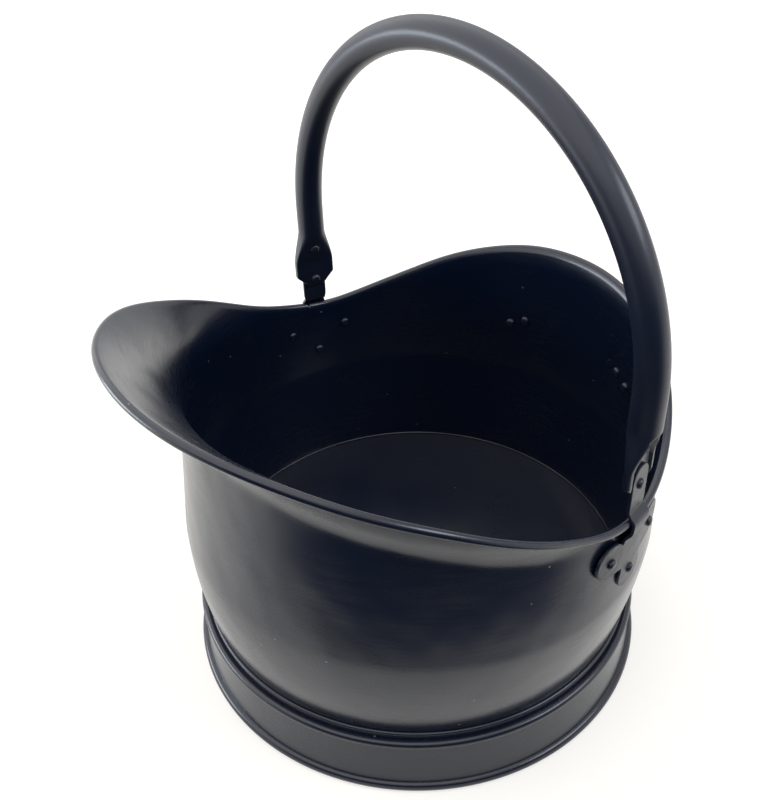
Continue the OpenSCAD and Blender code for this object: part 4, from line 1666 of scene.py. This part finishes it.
    def skin(self) -> Skin:
        """The whole rod.

        The half path is mirrored and each section stands square to it: a rounded oblong
        that goes from the pad's width and thickness to the rod's circle.

        Returns:
            The skin, faces outwards.
        """
        path, hint, rounded, drawn = self.half_path()
        path = np.concatenate([path, path[-2::-1] * [-1, 1, 1]])
        hint = np.concatenate([hint, hint[-2::-1] * [-1, -1, 1]])
        hint[:, 2] = np.abs(hint[:, 2])
        rounded, drawn = (np.concatenate([v, v[-2::-1]])[:, None] for v in (rounded, drawn))
        way = unit(np.gradient(path, axis=0))
        across = unit(hint - way * np.einsum("ij,ij->i", hint, way)[:, None])
        thick = np.cross(across, way)
        wide = (self.pad_w + (self.bow_d - self.pad_w) * rounded) / 2 * drawn
        deep = (self.pad_t + (self.bow_d - self.pad_t) * rounded) / 2
        square = self.pad_square + (2 - self.pad_square) * rounded**0.5
        u, v = oblong(full_turn(self.section_points)[None, :], wide, deep, square)
        rings = path[:, None] + u[..., None] * across[:, None] + v[..., None] * thick[:, None]
        grip = 1 - ease(np.abs(rings[..., 0]), *self.grip_span)
        return skin_rings(rings, self.grip_rub * grip + self.pad_rub * (1 - rounded), False)

    def build(self, shop: PaintShop) -> None:
        """Builds the handle and its four rivets.

        Args:
            shop: where they are painted.
        """
        shop.dress("tipping_handle", self.skin(), Coat.HOOP, ("rear_handle",))
        middle, out, along, across = self.pad_frame()
        rivet, made = Rivet(), []
        bore = math.sqrt(self.wall_out(self.bow_z) ** 2 - (self.pad_rivet_gap / 2) ** 2)
        for side, step, seed in ((1, -0.5, 22), (1, 0.5, 24), (-1, -0.5, 16), (-1, 0.5, 18)):
            rings, wear = rivet.spin(bore - self.pad_out - self.drum.sheet_t, self.pad_t, seed)
            spot = middle + along * step * self.pad_rivet_gap
            placed = spot + rings[..., :1] * out + rings[..., 1:2] * along + rings[..., 2:] * across
            made.append(skin_rings(placed * [side, 1, 1], wear, False))
        shop.dress("tipping_handle_rivets", join_skins(made), Coat.RIVET, ("rear_handle_rivets",))


# The studio


@dataclass(frozen=True)
class Lamp:
    """A rectangular lamp that faces the carrier.

    Attributes:
        name: its name.
        place: where it stands.
        size: its width and height.
        power: its power in watts.
        colour: its colour.
        aim_z: height on the carrier's axis that it faces.
    """

    name: str
    place: Triple
    size: Pair
    power: float
    colour: Triple
    aim_z: float = 0.2

    def build(self) -> None:
        """Adds the lamp."""
        data = bpy.data.lights.new(self.name, "AREA")
        data.shape, data.size, data.size_y = "RECTANGLE", *self.size
        data.energy, data.color = self.power, self.colour
        lamp = add_object(data)
        aim = (Vector((0, 0, self.aim_z)) - Vector(self.place)).to_track_quat("-Z", "Y")
        lamp.matrix_world = Matrix.Translation(self.place) @ aim.to_matrix().to_4x4()
        lamp.visible_camera = False


@dataclass
class DarkCard:
    """A dark card on the camera's side, seen in reflections only: a sector of a ring on
    the floor, which then rises as a curved wall. It fades at its edges.

    Attributes:
        turn: angle of its middle from the lip.
        half: half of its angle.
        fade: angle over which it fades at each end, inwards and outwards.
        near: distance of its near edge from the axis.
        step: how much farther out that edge lies towards the lip.
        step_span: angles from the lip between which the step runs out.
        soft: distance over which the near edge fades.
        far: distance of the wall.
        rise: height of the wall.
        rise_fade: share of that height where it starts to fade.
        lift: height of the flat part over the floor.
        wall_lift: height of the wall's first row.
        colour: how it looks.
        cols: points across its angle.
        flat_rows: rows of the flat part.
        wall_rows: rows of the wall.
    """

    turn: float = math.radians(51)
    half: float = math.radians(58)
    fade: float = math.radians(19)
    near: float = 0.258
    step: float = 0.05
    step_span: Pair = (math.radians(5), math.radians(30))
    soft: float = 0.06
    far: float = 1.1
    rise: float = 0.8
    rise_fade: float = 0.55
    lift: float = 0.001
    wall_lift: float = 0.02
    colour: Rgba = rgba(0.03, 0.045, 0.08)
    cols: int = 90
    flat_rows: int = 60
    wall_rows: int = 20

    def build(self) -> None:
        """Adds the card. Its cover is a smooth step of the distance from each edge."""
        swing = self.half + self.fade
        turn = self.turn + np.linspace(-swing, swing, self.cols)[None, :]
        flat, wall = np.ones(self.flat_rows), np.ones(self.wall_rows)
        outwards = np.linspace(self.near, self.far, self.flat_rows)
        upwards = np.linspace(self.wall_lift, self.rise, self.wall_rows)
        reach = np.concatenate([outwards, self.far * wall])[:, None]
        up = np.concatenate([self.lift * flat, upwards])[:, None]
        near = self.near + self.step * (1 - ease(turn, *self.step_span))
        cover = ease(reach, near, near + self.soft) \
            * (1 - ease(np.abs(turn - self.turn), self.half - self.fade, swing)) \
            * (1 - ease(up, self.rise_fade * self.rise, self.rise))
        material = bpy.data.materials.new("dark_card")
        tree = Tree(material)
        clear = tree.add("ShaderNodeBsdfTransparent", {}).outputs[0]
        dark = tree.add("ShaderNodeEmission", {"Color": self.colour, "Strength": 1.0}).outputs[0]
        tree.surface(tree.add("ShaderNodeMixShader", {0: tree.mark("cover"), 1: clear, 2: dark}))
        points = from_lip(reach, turn, up)
        quads = grid_quads(*points.shape[:2], close_cols=False).tolist()
        marks = {"cover": cover.reshape(-1)}
        card = add_object(make_mesh("dark_card", points.reshape(-1, 3), quads, material, **marks))
        card.visible_camera = card.visible_diffuse = card.visible_shadow = False
        card.visible_transmission = False


@dataclass
class Studio:
    """Plain pale floor, soft light and the camera of the photograph.

    Attributes:
        camera_at: where the camera stands.
        looks_at: the place that it is turned to.
        roll: how far it is rolled about its own axis.
        lens: its focal length in millimetres.
        sensor: height of its picture in millimetres.
        clip: nearest and farthest distance that it sees.
        floor_size: length of the floor's sides.
        floor_colour: colour of the floor.
        floor_glow: least and greatest glow of the floor.
        glow_spread: distances from the carrier between which the glow grows.
        sky_colour: colour of the surround and of the floor's glow.
        sky_fill: how strongly the surround lights, where it is seen with strength 1.
        lamps: the room's lamp panel and windows.
    """

    camera_at: Triple = (0.3985, -0.3312, 0.5776)
    looks_at: Triple = (-0.0036, -0.0206, 0.1986)
    roll: float = math.radians(-2.12)
    lens: float = 45.0
    sensor: float = 36.0
    clip: Pair = (0.02, 60.0)
    floor_size: float = 12.0
    floor_colour: Rgba = rgba(0.60, 0.575, 0.53)
    floor_glow: Pair = (0.50, 0.80)
    glow_spread: Pair = (0.25, 1.2)
    sky_colour: Rgba = rgba(1.0, 1.0, 1.0)
    sky_fill: float = 0.4
    lamps: tuple[Lamp, ...] = (
        Lamp("overhead_panel", (-0.6, -0.5, 1.7), (4.8, 4.8), 80, (1.0, 0.985, 0.96)),
        Lamp("left_window", (-1.15, -1.15, 0.34), (0.9, 0.46), 12, (0.80, 0.89, 1.0)),
        Lamp("right_window", (1.16, 0.67, 1.17), (0.9, 0.5), 10, (0.86, 0.92, 1.0)),
    )

    def camera(self) -> None:
        """Sets the camera at its place, turned to its aim, and rolled about its own axis."""
        data = bpy.data.cameras.new("photo_camera")
        data.lens, data.sensor_height, data.sensor_fit = self.lens, self.sensor, "VERTICAL"
        data.clip_start, data.clip_end = self.clip
        camera = add_object(data)
        back = (Vector(self.camera_at) - Vector(self.looks_at)).normalized()
        right = Vector((0, 0, 1)).cross(back).normalized()
        up = back.cross(right)
        spun_right = math.cos(self.roll) * right + math.sin(self.roll) * up
        spun_up = math.cos(self.roll) * up - math.sin(self.roll) * right
        turned = Matrix((spun_right, spun_up, back)).transposed().to_4x4()
        camera.matrix_world = Matrix.Translation(self.camera_at) @ turned
        bpy.context.scene.camera = camera

    def floor(self) -> None:
        """The floor: pale, with a glow that is seen but lights nothing, so that it is
        white and still keeps the carrier's shadow. The glow grows away from the carrier,
        where less light reaches the floor."""
        material = bpy.data.materials.new("studio_floor")
        tree = Tree(material)
        matt = tree.add("ShaderNodeBsdfDiffuse", {"Color": self.floor_colour}).outputs[0]
        distance = tree.add("ShaderNodeVectorMath", {0: tree.place()}, operation="LENGTH")
        glow_here = tree.span(distance.outputs["Value"], self.glow_spread, self.floor_glow)
        strength = tree.math("MULTIPLY", tree.seen(), glow_here)
        glow = tree.add("ShaderNodeEmission", {"Color": self.sky_colour, "Strength": strength})
        tree.surface(tree.add("ShaderNodeAddShader", {0: matt, 1: glow.outputs[0]}))
        corners = np.array([[-1, -1, 0], [1, -1, 0], [1, 1, 0], [-1, 1, 0]]) * self.floor_size / 2
        floor = add_object(make_mesh("studio_floor", corners, [(0, 1, 2, 3)], material))

    def sky(self) -> None:
        """A white surround that lights the carrier more softly than it is seen."""
        world = bpy.data.worlds.new("studio_sky")
        bpy.context.scene.world = world
        tree = Tree(world)
        fill = tree.span(tree.seen(), (0.0, 1.0), (self.sky_fill, 1.0))
        glow = tree.add("ShaderNodeBackground", {"Color": self.sky_colour, "Strength": fill})
        tree.surface(glow, "ShaderNodeOutputWorld")

    def build(self) -> None:
        """Sets up the studio."""
        self.camera()
        self.floor()
        self.sky()
        DarkCard().build()
        for lamp in self.lamps:
            lamp.build()
        bpy.context.scene.view_settings.view_transform = "Standard"


def main() -> None:
    """Builds the carrier and the studio, in order."""
    logging.basicConfig(level=logging.INFO, format="%(name)s: %(message)s")
    deep = 0.0004
    shop = PaintShop((
        Enamel(Coat.DRUM, specks=0.045),
        Enamel(Coat.HOOP, dent_size=0.06, dent_depth=deep, rough=(0.38, 0.44), brush_depth=0.0),
        Enamel(Coat.BRACKET, dent_size=0.009, dent_depth=deep, rough=(0.38, 0.5), brush_depth=0.0),
        Enamel(Coat.RIVET, dent_size=0.003, rough=(0.34, 0.48), brush_depth=0.0, rub=0.3),
    ))
    drum = Drum()
    drum.build(shop)
    FloorPan(drum).build(shop)
    BaseRing(drum).build(shop)
    hoop = Hoop(drum)
    hoop.build(shop)
    for side in (1, -1):
        Bracket(hoop, BracketPlace(side, hoop.turn)).build(shop)
    RearHandle(drum).build(shop)
    Studio().build()


if __name__ == "__main__":
    main()
